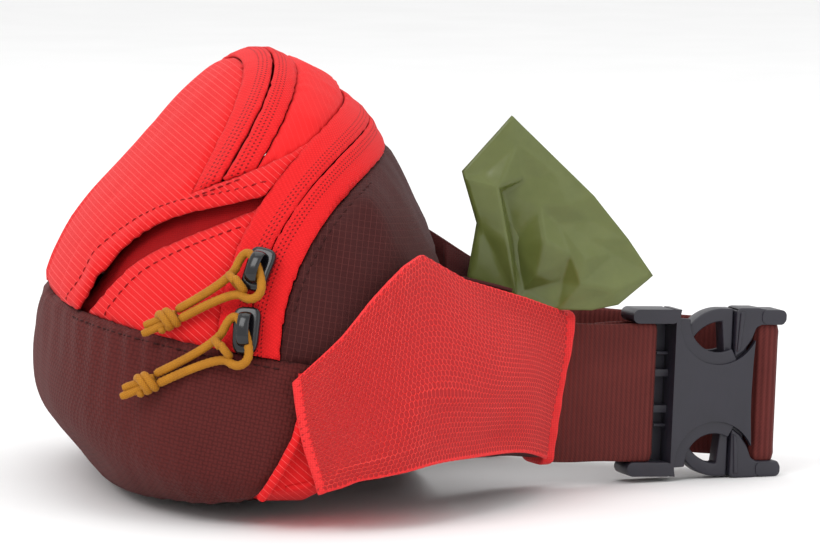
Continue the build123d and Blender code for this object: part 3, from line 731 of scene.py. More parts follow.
def body_points(x, angle):
    """Points on the body's skin: x across, angle round the core."""
    x, angle = np.asarray(x, float), np.asarray(angle, float)
    share = (1 - np.minimum(np.abs(x) / HALF_WIDTH, 1) ** ROUNDNESS) ** (1 / ROUNDNESS)
    r = share * reach_at(angle)
    y = BACK_Y - soft_floor(BACK_Y - CORE[0] - r * np.cos(angle), 3.0)
    z = soft_floor(CORE[1] + r * np.sin(angle), 2.6)
    side = np.clip((np.abs(x) - 34) / 42, 0, 1)
    z = z + SIDE_LIFT * side * side * (3 - 2 * side) * np.exp(-z / 12)
    chin = np.exp(-(((y + 35) / 13) ** 2 + ((z - 8) / 12) ** 2))
    y, z = y + CHIN_IN * chin, z + CHIN_LIFT * chin
    return np.stack([x, y, z], axis=-1)


def body_normals(x, angle):
    """The skin's outward direction at the same points, from its slopes."""
    dx, da = 0.25, 0.004
    x = np.clip(x, -HALF_WIDTH + 0.3, HALF_WIDTH - 0.3)
    across = body_points(x + dx, angle) - body_points(x - dx, angle)
    along = body_points(x, angle + da) - body_points(x, angle - da)
    n = np.cross(along, across)
    n /= np.maximum(np.linalg.norm(n, axis=-1), 1e-9)[..., None]
    return n


def body_x(y, z):
    """Half width of the body at (y, z) seen from the side."""
    r = np.hypot(np.asarray(y) - CORE[0], np.asarray(z) - CORE[1])
    share = np.clip(r / reach_at(np.arctan2(np.asarray(z) - CORE[1], np.asarray(y) - CORE[0])), 0, 1)
    return HALF_WIDTH * (1 - share**ROUNDNESS) ** (1 / ROUNDNESS)


def on_skin(points, side=1, out=0.0):
    """Points of the side view carried onto the body's skin on one side, and the normals there."""
    p = np.asarray(points, float)
    x = body_x(p[:, 0], p[:, 1])
    angle = np.arctan2(p[:, 1] - CORE[1], p[:, 0] - CORE[0])
    normals = body_normals(x, angle)
    found = body_points(x, angle) + normals * out
    return found * (side, 1, 1), normals * (side, 1, 1)


def line_side(points, reach=200.0):
    """Signed distance in the side view to an open line, carried straight on at both ends."""
    p = np.array(points, float)
    first, last = p[0] - p[1], p[-1] - p[-2]
    before, after = first / np.linalg.norm(first) * reach, last / np.linalg.norm(last) * reach
    p = np.vstack([p[0] + before, p, p[-1] + after])

    def field(co):
        q = co[:, 1:3]
        best, sign = np.full(len(q), 1e9), np.ones(len(q))
        for a, b in zip(p[:-1], p[1:]):
            d = b - a
            t = np.clip(((q - a) @ d) / (d @ d), 0, 1)
            off = q - (a + t[:, None] * d)
            away = np.hypot(off[:, 0], off[:, 1])
            s = np.sign(d[0] * (q[:, 1] - a[1]) - d[1] * (q[:, 0] - a[0]))
            near = away < best - 1e-9
            best, sign = np.where(near, away, best), np.where(near, s, sign)
        return best * np.where(sign == 0, 1, sign)

    return field


def line_z(line, y):
    """Height of a side-view line at y."""
    return np.interp(y, [p[0] for p in line], [p[1] for p in line])


# grid over the whole skin
STEP = 1.7
_profile_x = np.sin(np.linspace(-math.pi / 2, math.pi / 2, 4001)) * 103.9
_profile_y = 70 * (1 - (np.abs(_profile_x) / HALF_WIDTH) ** ROUNDNESS) ** (1 / ROUNDNESS)
_profile = np.stack([_profile_x, _profile_y], axis=1)
_girth = length_along(_profile)
columns = np.interp(np.linspace(0, _girth[-1], int(_girth[-1] / STEP)), _girth, _profile_x)
_ring_angle = np.linspace(_angle[0], _angle[0] + 2 * math.pi, 6001)
_ring_length = length_along(body_points(np.zeros(6001), _ring_angle))
_along_ring = np.linspace(0, _ring_length[-1], int(_ring_length[-1] / STEP))
row_angles = np.interp(_along_ring, _ring_length, _ring_angle)

skin = bmesh.new()
layer_x, layer_a = skin.verts.layers.float.new("across"), skin.verts.layers.float.new("angle")
region = skin.faces.layers.int.new("region")
_corners = []
for a in row_angles:
    row = []
    for x in columns:
        vert = skin.verts.new((0, 0, 0))
        vert[layer_x], vert[layer_a] = x, a
        row.append(vert)
    _corners.append(row)
for i in range(len(row_angles) - 1):
    for j in range(len(columns) - 1):
        skin.faces.new((_corners[i][j], _corners[i + 1][j], _corners[i + 1][j + 1], _corners[i][j + 1]))
for side in (0, -1):
    skin.faces.new([_corners[i][side] for i in range(len(row_angles) - 1)][:: -1 if side else 1])


def skin_places():
    x = np.array([v[layer_x] for v in skin.verts])
    return body_points(x, np.array([v[layer_a] for v in skin.verts]))


def cut(field, only, above, below):
    """Cuts the regions in only along the field's zero line, and names the two sides."""
    skin.verts.index_update()
    values = field(skin_places())
    values[np.abs(values) < 0.22] = 0.0
    level = dict(enumerate(values))
    faces = [f for f in skin.faces if f[region] in only]
    fresh = len(level)
    for edge in {e for f in faces for e in f.edges}:
        a, b = edge.verts
        va, vb = level[a.index], level[b.index]
        if va * vb < 0:
            _, vert = bmesh.utils.edge_split(edge, a, va / (va - vb))
            vert.index = fresh
            level[fresh] = 0.0
            fresh += 1
    for face in faces:
        on = [v for v in face.verts if level[v.index] == 0.0]
        if len(on) == 2 and not any(set(e.verts) == set(on) for e in face.edges):
            bmesh.utils.face_split(face, on[0], on[1])
    for face in skin.faces:
        if face[region] in only:
            total = sum(level[v.index] for v in face.verts)
            face[region] = above if total > 0 else below


(WHOLE, BACK, UPPER, BASE, RIGHT_LOW, LEFT_LOW, RIGHT_END, LEFT_END, GUSSET, TAPE_REAR, TAPE_FRONT, GAP,
 AHEAD, FRONT, POCKET, TOP, ZIPS, ZIP_LOWER, ZIP_UPPER, LIP_BAND, SPARE, SPARE_B) = range(22)


def main_line(co):
    """Distance in the side view to the main zip's circle."""
    return np.hypot(co[:, 1] - MAIN_ZIP[0], co[:, 2] - MAIN_ZIP[1]) - MAIN_ZIP[2]


cut(lambda co: co[:, 1] - (BACK_Y - 0.45), [WHOLE], BACK, UPPER)
cut(lambda co: co[:, 2] - SEAM_Z - SEAM_SLOPE * co[:, 1], [UPPER], UPPER, BASE)
cut(lambda co: co[:, 0] - 74, [BASE], RIGHT_END, BASE)
cut(lambda co: -co[:, 0] - 74, [BASE], LEFT_END, BASE)
for end, low in ((RIGHT_END, RIGHT_LOW), (LEFT_END, LEFT_LOW)):
    cut(line_side([(22.0, 96.0)] + PIPING + [(6, -6)]), [end], low, SPARE)
    cut(line_side([(62, -40), (62, 30), (40, 40), (18.6, 39.5)]), [low], low, SPARE)
    cut(lambda co: co[:, 0] * 0 - 1, [SPARE], BASE, BASE)
cut(lambda co: main_line(co) + TAPE, [UPPER], UPPER, GUSSET)
cut(lambda co: main_line(co) + 0.16, [UPPER], UPPER, TAPE_REAR)
cut(lambda co: main_line(co) - 0.16, [UPPER], UPPER, GAP)
cut(lambda co: main_line(co) - TAPE, [UPPER], AHEAD, TAPE_FRONT)
zip_front = line_side([FOOT_FRONT, HEAD_FRONT])
zip_rear = line_side([FOOT_REAR, HEAD_REAR])
zip_foot = line_side([FOOT_FRONT, FOOT_REAR])
zip_middle = line_side([ZIP_FOOT, ZIP_HEAD])
cut(zip_foot, [AHEAD], TOP, POCKET)
cut(zip_front, [TOP], SPARE, TOP)
cut(zip_rear, [TOP], ZIPS, TOP)
cut(lambda co: zip_middle(co) - 0.3, [ZIPS], ZIP_LOWER, SPARE_B)
cut(lambda co: zip_middle(co) + 0.3, [SPARE_B], GAP, ZIP_UPPER)
cut(line_side([(HEAD_FRONT[0], 130), FOOT_FRONT, (-60, 60)]), [POCKET, SPARE], FRONT, FRONT)
cut(line_side(HEM), [FRONT], FRONT, LIP_BAND)
cut(line_side(EDGE), [LIP_BAND], LIP_BAND, POCKET)


def swell(distance, depth=1.2, width=1.5):
    """A panel's edge turns in to its seam."""
    return -depth * np.exp(-((distance / width) ** 2))


def wrinkled(points, size, seed, stretch=(1, 1, 1)):
    """Smooth noise about size millimetres across, from -1 to 1, one value a point."""
    moved = points * np.array(stretch) / size + seed
    return np.array([noise.noise(Vector(p)) for p in moved])


TUCK_MIDDLE, TUCK_SIDES, TUCK_BACK = 1.0, 11.0, 1.5


def tucked(points):
    """The underside behind rises, the more so towards the wings."""
    x, y, z = points[:, 0], points[:, 1], points[:, 2]
    under = np.clip((y - 22) / 24, 0, 1) * (np.clip(np.abs(x) / 75, 0, 1) * TUCK_SIDES + TUCK_MIDDLE)
    under = under + TUCK_BACK * np.clip((y - 50) / 15, 0, 1)
    return np.stack([x, y, z + under * np.exp(-((z / 22) ** 2))], axis=1)


DRAWN_IN = -1.2  # how far the cloth lies inside the body's form, fading to nothing at the floor
PANEL_CLOTH = 1.0  # thickness


def skin_piece(name, label, slot, pucker, soft, seed, side=0, raise_by=None, uv_of=None, edge=(1.2, 1.5),
               material=None):
    """One sewn panel cut from the skin: edges turned in to the seams, puckers beside them, soft creases."""
    faces = [f for f in skin.faces if f[region] == label]
    if side:
        faces = [f for f in faces if sum(v[layer_x] for v in f.verts) * side > 0]
    verts = sorted({v for f in faces for v in f.verts}, key=lambda v: (v[layer_a], v[layer_x]))
    x = np.array([v[layer_x] for v in verts])
    angle = np.array([v[layer_a] for v in verts])
    rest, normal = body_points(x, angle), body_normals(x, angle)
    work = bmesh.new()
    x_layer = work.verts.layers.int.new("source")
    made = [work.verts.new(p) for p in rest]
    lookup = {v: i for i, v in enumerate(verts)}
    for f in faces:
        ids = [lookup[v] for v in f.verts]
        if len(set(ids)) > 2:
            try:
                work.faces.new([made[i] for i in ids])
            except ValueError:
                pass
    for i, v in enumerate(made):
        v[x_layer] = i
    bmesh.ops.remove_doubles(work, verts=work.verts[:], dist=0.3)
    bmesh.ops.dissolve_degenerate(work, dist=0.05, edges=work.edges[:])
    work.verts.index_update()
    kept = [v[x_layer] for v in work.verts]
    rest, normal, angle, x = rest[kept], normal[kept], angle[kept], x[kept]
    border = sorted({v.index for e in work.edges if e.is_boundary for v in e.verts})
    tree = KDTree(len(border))
    for i in border:
        tree.insert(Vector(rest[i]), i)
    tree.balance()
    near = [tree.find(Vector(p)) for p in rest]
    distance = np.array([n[2] for n in near])
    foot = np.array([n[0] for n in near])
    push = swell(distance, *edge) + DRAWN_IN * np.clip(rest[:, 2] / 8, 0, 1)
    fade = np.minimum(distance / 2.5, 1)
    push = push + pucker[0] * np.exp(-distance / pucker[1]) * fade * wrinkled(foot, pucker[2], seed + 3.1)
    push = push + soft[0] * wrinkled(rest, soft[1], seed + 7.7) * fade
    push = push + soft[0] * 0.3 * wrinkled(rest, soft[1] / 3, seed + 1.3) * fade
    if raise_by is not None:
        push = push + raise_by(rest, distance, x)
    places = rest + normal * push[:, None]
    u = np.interp(x, _profile_x, _girth)
    ring = np.interp(angle, _ring_angle, _ring_length)
    share = (1 - (np.abs(x) / HALF_WIDTH) ** ROUNDNESS) ** (1 / ROUNDNESS)
    uv = np.stack([u, ring * (0.35 + 0.65 * share)], axis=1) if uv_of is None else uv_of(rest, x)
    faces = [[v.index for v in f.verts] for f in work.faces]
    piece = new_mesh(name, tucked(places), faces, slot, uv=uv, material=material)
    work.free()
    use(piece, "SOLIDIFY", "cloth", thickness=PANEL_CLOTH * MM, offset=-1.0, use_rim=True)
    return piece


def side_uv(origin, along):
    """Cloth laid flat in the side view, shifted by its girth where it turns to face forwards."""
    a = np.array(along, float) / np.hypot(*along)

    def place(rest, x):
        y, z = rest[:, 1] - origin[0], rest[:, 2] - origin[1]
        turned = np.interp(x, _profile_x, _girth) * 0.6
        return np.stack([y * a[0] + z * a[1] + turned, z * a[0] - y * a[1] + turned * 0.7], axis=1)

    return place


def main_zip_uv(rest, x):
    """Length along the zip, round its circle and across the bag, and distance from its middle."""
    spin = np.arctan2(rest[:, 2] - MAIN_ZIP[1], rest[:, 1] - MAIN_ZIP[0])
    along = -spin * MAIN_ZIP[2] * 0.75 - np.interp(np.abs(x), _profile_x, _girth) * 0.55
    return np.stack([along, main_line(rest)], axis=1)


def front_zip_uv(rest, x):
    along = rest[:, 1] * 0.55 + rest[:, 2] * 0.835
    return np.stack([along * 0.85 - np.interp(np.abs(x), _profile_x, _girth) * 0.5, zip_middle(rest)], axis=1)


def zip_relief(line):
    """A ridge where the teeth lie under the tapes, and a low shoulder each side of it."""

    def relief(rest, distance, x):
        off = np.abs(line(rest))
        return 0.6 * np.exp(-((off - 1.8) / 1.5) ** 2) + 0.75 * np.exp(-((off / 0.9) ** 2))

    return relief


def gusset_shape(rest, distance, x):
    """Folds of the rear gusset: a hollow above the wing and soft ridges either side of it."""

    def fold(middle, across, width, length):
        """1 along a fold through middle, fading across its width and along its length."""
        y, z = rest[:, 1] - middle[0], rest[:, 2] - middle[1]
        a, b = across
        return np.exp(-((y * a + z * b) / width) ** 2) * np.exp(-((z * a - y * b) / length) ** 2)

    ridge = fold((38, 84), (0.82, 0.57), 5.0, 17)
    hollow = fold((28, 70), (0.75, 0.66), 7.0, 20)
    lower = fold((36, 66), (0.9, 0.44), 4.5, 12)
    return np.minimum(distance / 5, 1) * (2.6 * ridge - 2.6 * hollow + 1.9 * lower)


def base_shape(rest, distance, x):
    """The base's puckers, where its seam is eased round the front corner."""
    y, z = rest[:, 1], rest[:, 2]
    fall = np.exp(-distance / 13) * np.minimum(distance / 2, 1)
    corner = np.exp(-(((y + 18) / 22) ** 2))
    folds = np.sin((y + np.abs(x) * 0.35) * 0.95 + 1.5 * np.sin(z * 0.12))
    return 0.85 * folds * fall * corner + 0.5 * np.minimum(distance / 10, 1)


def front_shape(rest, distance, x):
    """A slack crease from the pocket's front end up the front panel."""
    y, z = rest[:, 1], rest[:, 2]
    crease = np.exp(-((y + 30 - (z - 55) * 0.16) / 2.2) ** 2) * np.exp(-((z - 60) / 16) ** 2)
    crease = crease * (np.abs(x) > 40)
    mouth = line_side(HEM)(rest)
    hem = np.exp(-((mouth - 5.0) / 3.2) ** 2) * (np.abs(x) > 25)
    stitch = np.exp(-((mouth - 2.7) / 0.45) ** 2) * (np.abs(x) > 12)
    return 1.2 * crease + 0.9 * hem - 0.35 * stitch + 1.4 * np.exp(-((mouth / 2.4) ** 2)) * (np.abs(x) > 25)


def pocket_shape(rest, distance, x):
    """The pocket's own panel: its mouth sags inwards, with a stitched hem."""
    below = -line_side(EDGE)(rest)
    middle = np.exp(-(((rest[:, 1] + 8) / 24) ** 2))
    stitch = np.exp(-((below - 3.6) / 0.45) ** 2)
    return -1.5 * np.exp(-below / 6.0) * middle - 0.3 * stitch


TAPE_LOOK = dict(edge=(0.5, 0.9), soft=(0.15, 12), pucker=(0.12, 4, 5))
MAIN_TAPE = dict(TAPE_LOOK, raise_by=zip_relief(main_line), uv_of=main_zip_uv)
FRONT_TAPE = dict(TAPE_LOOK, raise_by=zip_relief(zip_middle), uv_of=front_zip_uv)
POCKET_LOOK = dict(raise_by=pocket_shape, soft=(0.5, 20), pucker=(0.3, 8, 6))
LOW_LOOK = dict(soft=(0.2, 15), pucker=(0.2, 5, 5))
BASE_LOOK = dict(raise_by=base_shape, soft=(0.7, 26), pucker=(0.5, 9, 5))
FRONT_LOOK = dict(raise_by=front_shape, soft=(0.55, 24), pucker=(0.35, 8, 6))
TOP_LOOK = dict(material="red_ripstop_top", soft=(0.8, 15), pucker=(0.5, 8, 5))
GUSSET_LOOK = dict(raise_by=gusset_shape, soft=(0.7, 24), pucker=(0.5, 9, 6),
                   uv_of=side_uv((40, 60), (1, 0.1)))
# piece, region, slot, replaced node and settings; the place in the list gives the seed of the creases
PANELS = [
    ("back_panel", BACK, "back_fabric", "back_panel", dict(pucker=(0.2, 6, 4), soft=(0.25, 14))),
    ("base", BASE, "maroon_weave", "base_panel", BASE_LOOK),
    ("gusset", GUSSET, "maroon_ripstop", "rear_gusset", GUSSET_LOOK),
    ("main_zip_tape_rear", TAPE_REAR, "zip_tape", "main_zip_tape_rear", MAIN_TAPE),
    ("main_zip_tape_front", TAPE_FRONT, "zip_tape", "main_zip_tape_front", MAIN_TAPE),
    ("front_zip_tape_lower", ZIP_LOWER, "zip_tape", "front_zip_tape_lower", FRONT_TAPE),
    ("front_zip_tape_upper", ZIP_UPPER, "zip_tape", "front_zip_tape_upper", FRONT_TAPE),
    ("front", FRONT, "red_ripstop", "front_panel", FRONT_LOOK),
    ("top", TOP, "red_ripstop", "top_panel", TOP_LOOK),
    ("right_pocket", POCKET, "red_ripstop", "right_side_pocket", dict(POCKET_LOOK, side=1)),
    ("left_pocket", POCKET, "red_ripstop", "left_side_pocket", dict(POCKET_LOOK, side=-1)),
    ("right_low", RIGHT_LOW, "red_ripstop", "right_lower_panel", LOW_LOOK),
    ("left_low", LEFT_LOW, "red_ripstop", "left_lower_panel", LOW_LOOK),
]
for seed, (name, label, slot, replaced, facts) in enumerate(PANELS, 1):
    piece = skin_piece(name + "_cloth", label, slot, seed=seed, **facts)
    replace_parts(piece, replaced)


# ------------------------------------------------------------------ stitches and piping
STITCH_SECTIONS = ((0, 0.35, -0.12), (0.22, 0.9, 0.1), (0.5, 1.0, 0.16), (0.78, 0.9, 0.1), (1, 0.35, -0.12))


def stitches(name, lines, thread, slot, pitch=2.6, length=1.9, radius=0.24):
    """Rows of short raised stitches: each line is a list of surface points with their normals."""
    points, faces = [], []
    for places, normals in lines:
        places = np.asarray(places, float)
        s = length_along(places)
        at = np.arange(pitch / 2, s[-1] - pitch / 2, pitch)
        for a in at:
            p, q = (np.array([np.interp(a + h, s, places[:, k]) for k in range(3)])
                    for h in (-length / 2, length / 2))
            n = np.array([np.interp(a, s, normals[:, k]) for k in range(3)])
            n /= np.linalg.norm(n)
            along = (q - p) / np.linalg.norm(q - p)
            across = np.cross(n, along)
            base = len(points)
            for share, size, lift in STITCH_SECTIONS:
                centre = p + (q - p) * share + n * lift
                for k in range(6):
                    t = 2 * math.pi * k / 6
                    points.append(centre + (across * math.cos(t) + n * math.sin(t)) * radius * size)
            faces += [tuple(base + i for i in f) for f in grid_faces(5, 6, close_columns=True)]
            faces.append(tuple(base + i for i in range(5, -1, -1)))
            faces.append(tuple(base + 24 + i for i in range(6)))
    new_mesh(name, points, faces, slot, uv=np.zeros((len(points), 2)), material=thread)


def traced(line, step=1.0, side=1, out=0.0):
    """A side-view line carried onto the skin: places and normals."""
    return on_skin(resample(np.array(line, float), step), side, out)


def drop(line, down):
    """The line moved down the cloth, square to itself in the side view."""
    p = resample(np.array(line, float), 1.0)
    t = np.gradient(p, axis=0)
    t /= np.linalg.norm(t, axis=1)[:, None]
    return p + np.stack([t[:, 1], -t[:, 0]], axis=1) * down


def arc_line(offset, start, end):
    """Part of a circle about the main zip's centre, seen from the side."""
    a = np.radians(np.linspace(start, end, 40))
    r = MAIN_ZIP[2] + offset
    return np.stack([MAIN_ZIP[0] + r * np.cos(a), MAIN_ZIP[1] + r * np.sin(a)], axis=1)


def sewn_on(piece, line, side, step=1.0):
    """A side-view line laid on a finished panel: places and normals."""
    places, normals = traced(line, step, side, 7.0)
    mesh = bpy.data.objects[piece].data
    tree = BVHTree.FromPolygons([v.co / MM for v in mesh.vertices], [p.vertices[:] for p in mesh.polygons])
    found = [(tree.ray_cast(Vector(p), Vector(-n), 14.0), n) for p, n in zip(places, normals)]
    kept = [(np.array(hit[0]), n) for hit, n in found if hit[0] is not None]
    return np.array([k[0] for k in kept]), np.array([k[1] for k in kept])


red_rows, maroon_rows = [], []
hem_part = [p for p in HEM if -37 <= p[0] <= 26]
mouth_part = [p for p in EDGE if -39 < p[0] < 20]
for side, word in ((1, "right"), (-1, "left")):
    red_rows.append(sewn_on("front_cloth", drop(hem_part, -2.7), side))
    red_rows.append(sewn_on(word + "_pocket_cloth", drop(mouth_part, 3.3), side))
    red_rows.append(sewn_on("front_cloth", [(-4.5, 84.6 - 2.2), (9.0, 90.9 - 2.2)], side))
    maroon_rows.append(sewn_on("gusset_cloth", arc_line(-TAPE - 2.4, 166, 118), side))
    below_seam = [(y, SEAM_Z + SEAM_SLOPE * y - 2.4) for y in range(-36, 18, 2)]
    maroon_rows.append(sewn_on("base_cloth", below_seam, side))
stitches("red_topstitching", red_rows, "red_thread", "red_ripstop")
stitches("maroon_topstitching", maroon_rows, "maroon_thread", "maroon_ripstop")


def piping_cord(name, path, radius=1.25, around=12, ripple=0.03):
    """The covered cord along the seam in front of the wing, not quite even."""
    path = resample(path, 1.0)

    def radius_at(s, whole, a):
        return radius * (1 + ripple * math.sin(s * 2.4) + ripple * 0.6 * math.sin(s * 0.9 + 1)), radius

    points, faces, uv = swept(path, around, radius_at)
    faces.append(tuple(range(around)))
    faces.append(tuple(len(points) - 1 - k for k in range(around)))
    return new_mesh(name, points, faces, "red_ripstop", uv=uv)


for side, word in ((1, "right"), (-1, "left")):
    places, _ = traced(PIPING, 0.8, side, 1.0)
    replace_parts(piping_cord(word + "_piping_cord", places), word + "_piping")


# ------------------------------------------------------------------ wings
LOWER_ON_BODY = [(24, 9), (32, 11), (50, 14)]
UPPER_ON_BODY = [(18, 37), (29.5, 47.5), (38, 57.5), (45, 64), (51, 66.5)]
OUTER_FOOT = [(84, 67, 14.5), (61, 84.5, 12.5), (44.5, 93, 8.5)]
OUTER_RIM = [(72, 67, 60), (53, 86, 53), (37, 100, 47)]
OUTER_OUT = [(0.66, 0.75, 0), (0.54, 0.84, 0), (0.54, 0.84, 0)]
OUTER_BULGE = (4.6, 2.6, 1.4)
LINING_FOOT = [(42, 66.05, 8), (35, 75, 8), (28, 86, 7), (25.5, 98, 6)]
LINING_RIM = [(42, 66.05, 67), (35, 75, 61.5), (28, 86, 54.5), (25.5, 98, 48.6)]


def along_line(points, shares):
    """Points at the given shares of a line's length."""
    p = np.array(points, float)
    s = length_along(p)
    return np.stack([np.interp(np.asarray(shares) * s[-1], s, p[:, k]) for k in range(p.shape[1])], axis=1)


def wing_columns(count=25):
    """The wing's outer face as columns of points, from its front edge back to the belt."""
    v = np.linspace(0, 1, count)
    keys = []
    for share in (0.0, 0.12, 0.25, 0.38, 0.5, 0.62, 0.75, 0.88, 1.0):
        low, high = along_line(LOWER_ON_BODY, [share])[0], along_line(UPPER_ON_BODY, [share])[0]
        yz = low + (high - low) * v[:, None]
        yz[:, 0] -= 1.2 * np.sin(math.pi * v) * (1 - share)
        places, _ = on_skin(yz, 1, 2.1 + 1.6 * share)
        keys.append(places)
    for low, high, out, bulge in zip(OUTER_FOOT, OUTER_RIM, OUTER_OUT, OUTER_BULGE):
        low, high, out = np.array(low, float), np.array(high, float), np.array(out)
        swollen = out / np.linalg.norm(out) * (bulge * np.sin(math.pi * v))[:, None]
        keys.append(low + (high - low) * v[:, None] + swollen)
    return np.array(keys)


def spread(keys, columns_out, crease=0.0):
    """Smooth columns through the key columns, evenly spaced along the middle row."""
    keys = np.asarray(keys)
    smooth = np.array([natural_spline(keys[:, k], 240) for k in range(keys.shape[1])])
    rows = []
    for k, row in enumerate(smooth):
        s = length_along(keys[:, k])
        at = np.linspace(0, s[-1], 240)
        straight = np.stack([np.interp(at, s, keys[:, k, c]) for c in range(3)], axis=1)
        crisp = np.clip((k / (keys.shape[1] - 1) - 0.72) / 0.28, 0, 1) * crease
        rows.append(row * (1 - crisp) + straight * crisp)
    rows = np.array(rows)
    s = length_along(rows[keys.shape[1] // 2])
    at = np.interp(np.linspace(0, s[-1], columns_out), s, np.linspace(0, 1, 240))
    grid = np.arange(240) / 239
    even = [np.stack([np.interp(at, grid, row[:, k]) for k in range(3)], axis=1) for row in rows]
    return np.array(even), s[-1]


class Patch:
    """A surface over (u, v) in millimetres, from a grid of points stored by row."""

    def __init__(self, grid, length, height):
        self.grid, self.length, self.height = grid, length, height
        du = np.gradient(grid, axis=1)
        dv = np.gradient(grid, axis=0)
        n = np.cross(du, dv)
        self.normal = n / np.maximum(np.linalg.norm(n, axis=2), 1e-9)[..., None]

    def at(self, u, v, out=0.0):
        rows, cols = self.grid.shape[:2]
        i = np.clip(np.asarray(v, float) / self.height, 0, 1) * (rows - 1)
        j = np.clip(np.asarray(u, float) / self.length, 0, 1) * (cols - 1)
        i0, j0 = np.minimum(i.astype(int), rows - 2), np.minimum(j.astype(int), cols - 2)
        fi, fj = (i - i0)[..., None], (j - j0)[..., None]

        def mixed(a):
            return (
                a[i0, j0] * (1 - fi) * (1 - fj) + a[i0 + 1, j0] * fi * (1 - fj)
                + a[i0, j0 + 1] * (1 - fi) * fj + a[i0 + 1, j0 + 1] * fi * fj
            )

        return mixed(self.grid) + mixed(self.normal) * np.asarray(out)[..., None]


wing_grid, wing_length = spread(wing_columns(), 90, 1.0)
WING_HEIGHT = 50.0
wing = Patch(wing_grid, wing_length, WING_HEIGHT)


def wing_sag(u, v):
    """Soft waves of the wing's cloth: slack along its lower edge and drawn in towards the belt."""
    u, v = np.asarray(u, float), np.asarray(v, float)
    edge = np.minimum(np.minimum(u / 8, 1), np.minimum(np.minimum(v, WING_HEIGHT - v) / 6, 1))
    wave = 0.7 * np.sin(u * 0.085 + v * 0.06) + 0.5 * np.sin(u * 0.05 - v * 0.13 + 1.0)
    along, up = (u - wing_length * 0.66) / 13.0, (v - WING_HEIGHT * 0.12) / 13.0
    drawn = -1.6 * np.exp(-(along**2)) * np.exp(-(up**2))
    return (wave + drawn) * np.clip(edge, 0, 1)


HOLE = 1.52  # pitch of the openings
YARN, WALL, HOLE_DEPTH, YARN_DEPTH = 0.33, 0.1, 0.55, 0.05


def honeycomb(name, side, replaced):
    """The spacer mesh: hexagonal openings sunk into the knit."""
    w, h = HOLE, HOLE * 0.9
    lookup, uv, faces = {}, [], []

    def corner(u, v):
        key = (round(u / w * 6), round(v / h * 6))
        if key not in lookup:
            lookup[key] = len(uv)
            uv.append((u, v))
        return lookup[key]

    for row in range(int(WING_HEIGHT / h) + 2):
        for col in range(int(wing_length / w) + 2):
            cu, cv = (col + 0.5 * (row % 2)) * w, row * h
            if not (0.6 < cu < wing_length - 0.6 and 0.6 < cv < WING_HEIGHT - 0.6):
                continue
            faces.append([
                corner(cu, cv + h * 2 / 3), corner(cu - w / 2, cv + h / 3), corner(cu - w / 2, cv - h / 3),
                corner(cu, cv - h * 2 / 3), corner(cu + w / 2, cv - h / 3), corner(cu + w / 2, cv + h / 3),
            ])
    u, v = np.array(uv).T
    places = wing.at(u, v, wing_sag(u, v) + 0.25)
    if side < 0:
        places = places * (-1, 1, 1)
        faces = [f[::-1] for f in faces]
    bm = bmesh.new()
    layer = bm.loops.layers.uv.new("UVMap")
    verts = [bm.verts.new(Vector(p) * MM) for p in places]
    for f in faces:
        face = bm.faces.new([verts[i] for i in f[::-1]])
        for loop, i in zip(face.loops, f[::-1]):
            loop[layer].uv = (uv[i][0] / 100, uv[i][1] / 100)
    bmesh.ops.inset_individual(
        bm, faces=bm.faces[:], thickness=YARN * MM, depth=-YARN_DEPTH * MM, use_even_offset=True)
    centres = [f for f in bm.faces if len(f.verts) == 6]
    bmesh.ops.inset_individual(
        bm, faces=centres, thickness=WALL * MM, depth=-HOLE_DEPTH * MM, use_even_offset=True)
    mesh = bpy.data.meshes.new(name)
    bm.to_mesh(mesh)
    bm.free()
    mesh.polygons.foreach_set("use_smooth", [False] * len(mesh.polygons))
    obj = bpy.data.objects.new(name, mesh)
    bpy.context.scene.collection.objects.link(obj)
    mesh.materials.append(materials["red_mesh"])
    mesh.materials.append(materials["red_mesh_ground_painted_shade"])
    # the sunk hexagon bottoms take the darker ground: painted shade in the openings
    mesh.polygons.foreach_set("material_index", [1 if len(p.vertices) == 6 else 0 for p in mesh.polygons])
    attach(obj, "pack")
    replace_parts(obj, replaced)


HEM_PROFILE = [(-0.5, -0.55), (-0.47, -0.1), (-0.34, 0.32), (-0.1, 0.42),
               (0.12, 0.42), (0.34, 0.32), (0.47, -0.1), (0.5, -0.55)]


def wing_hem(name, u, v, width, side, out, thickness):
    """A folded hem along a line on the wing, with rounded edges."""
    line = resample(np.stack([np.asarray(u, float), np.asarray(v, float)], axis=1), 0.9)
    t = np.gradient(line, axis=0)
    t /= np.linalg.norm(t, axis=1)[:, None]
    n = np.stack([-t[:, 1], t[:, 0]], axis=1)
    along = length_along(line)
    points, uv = [], []
    for across, lift in HEM_PROFILE:
        q = line + n * across * width
        ripple = 0.1 * np.sin(along * 2.1)
        height = wing_sag(q[:, 0], q[:, 1]) + out + lift * thickness + ripple
        points.append(wing.at(q[:, 0], q[:, 1], height))
        uv.append(np.stack([along, np.full(len(line), across * width)], axis=1))
    flat = np.array(points).reshape(-1, 3) * (side, 1, 1)
    faces = grid_faces(len(HEM_PROFILE), len(line), flip=side > 0)
    obj = new_mesh(name, flat, faces, "red_mesh", uv=np.vstack(uv), material="wing_hem")
    use(obj, "SOLIDIFY", "fold", thickness=0.5 * MM, offset=0.0)


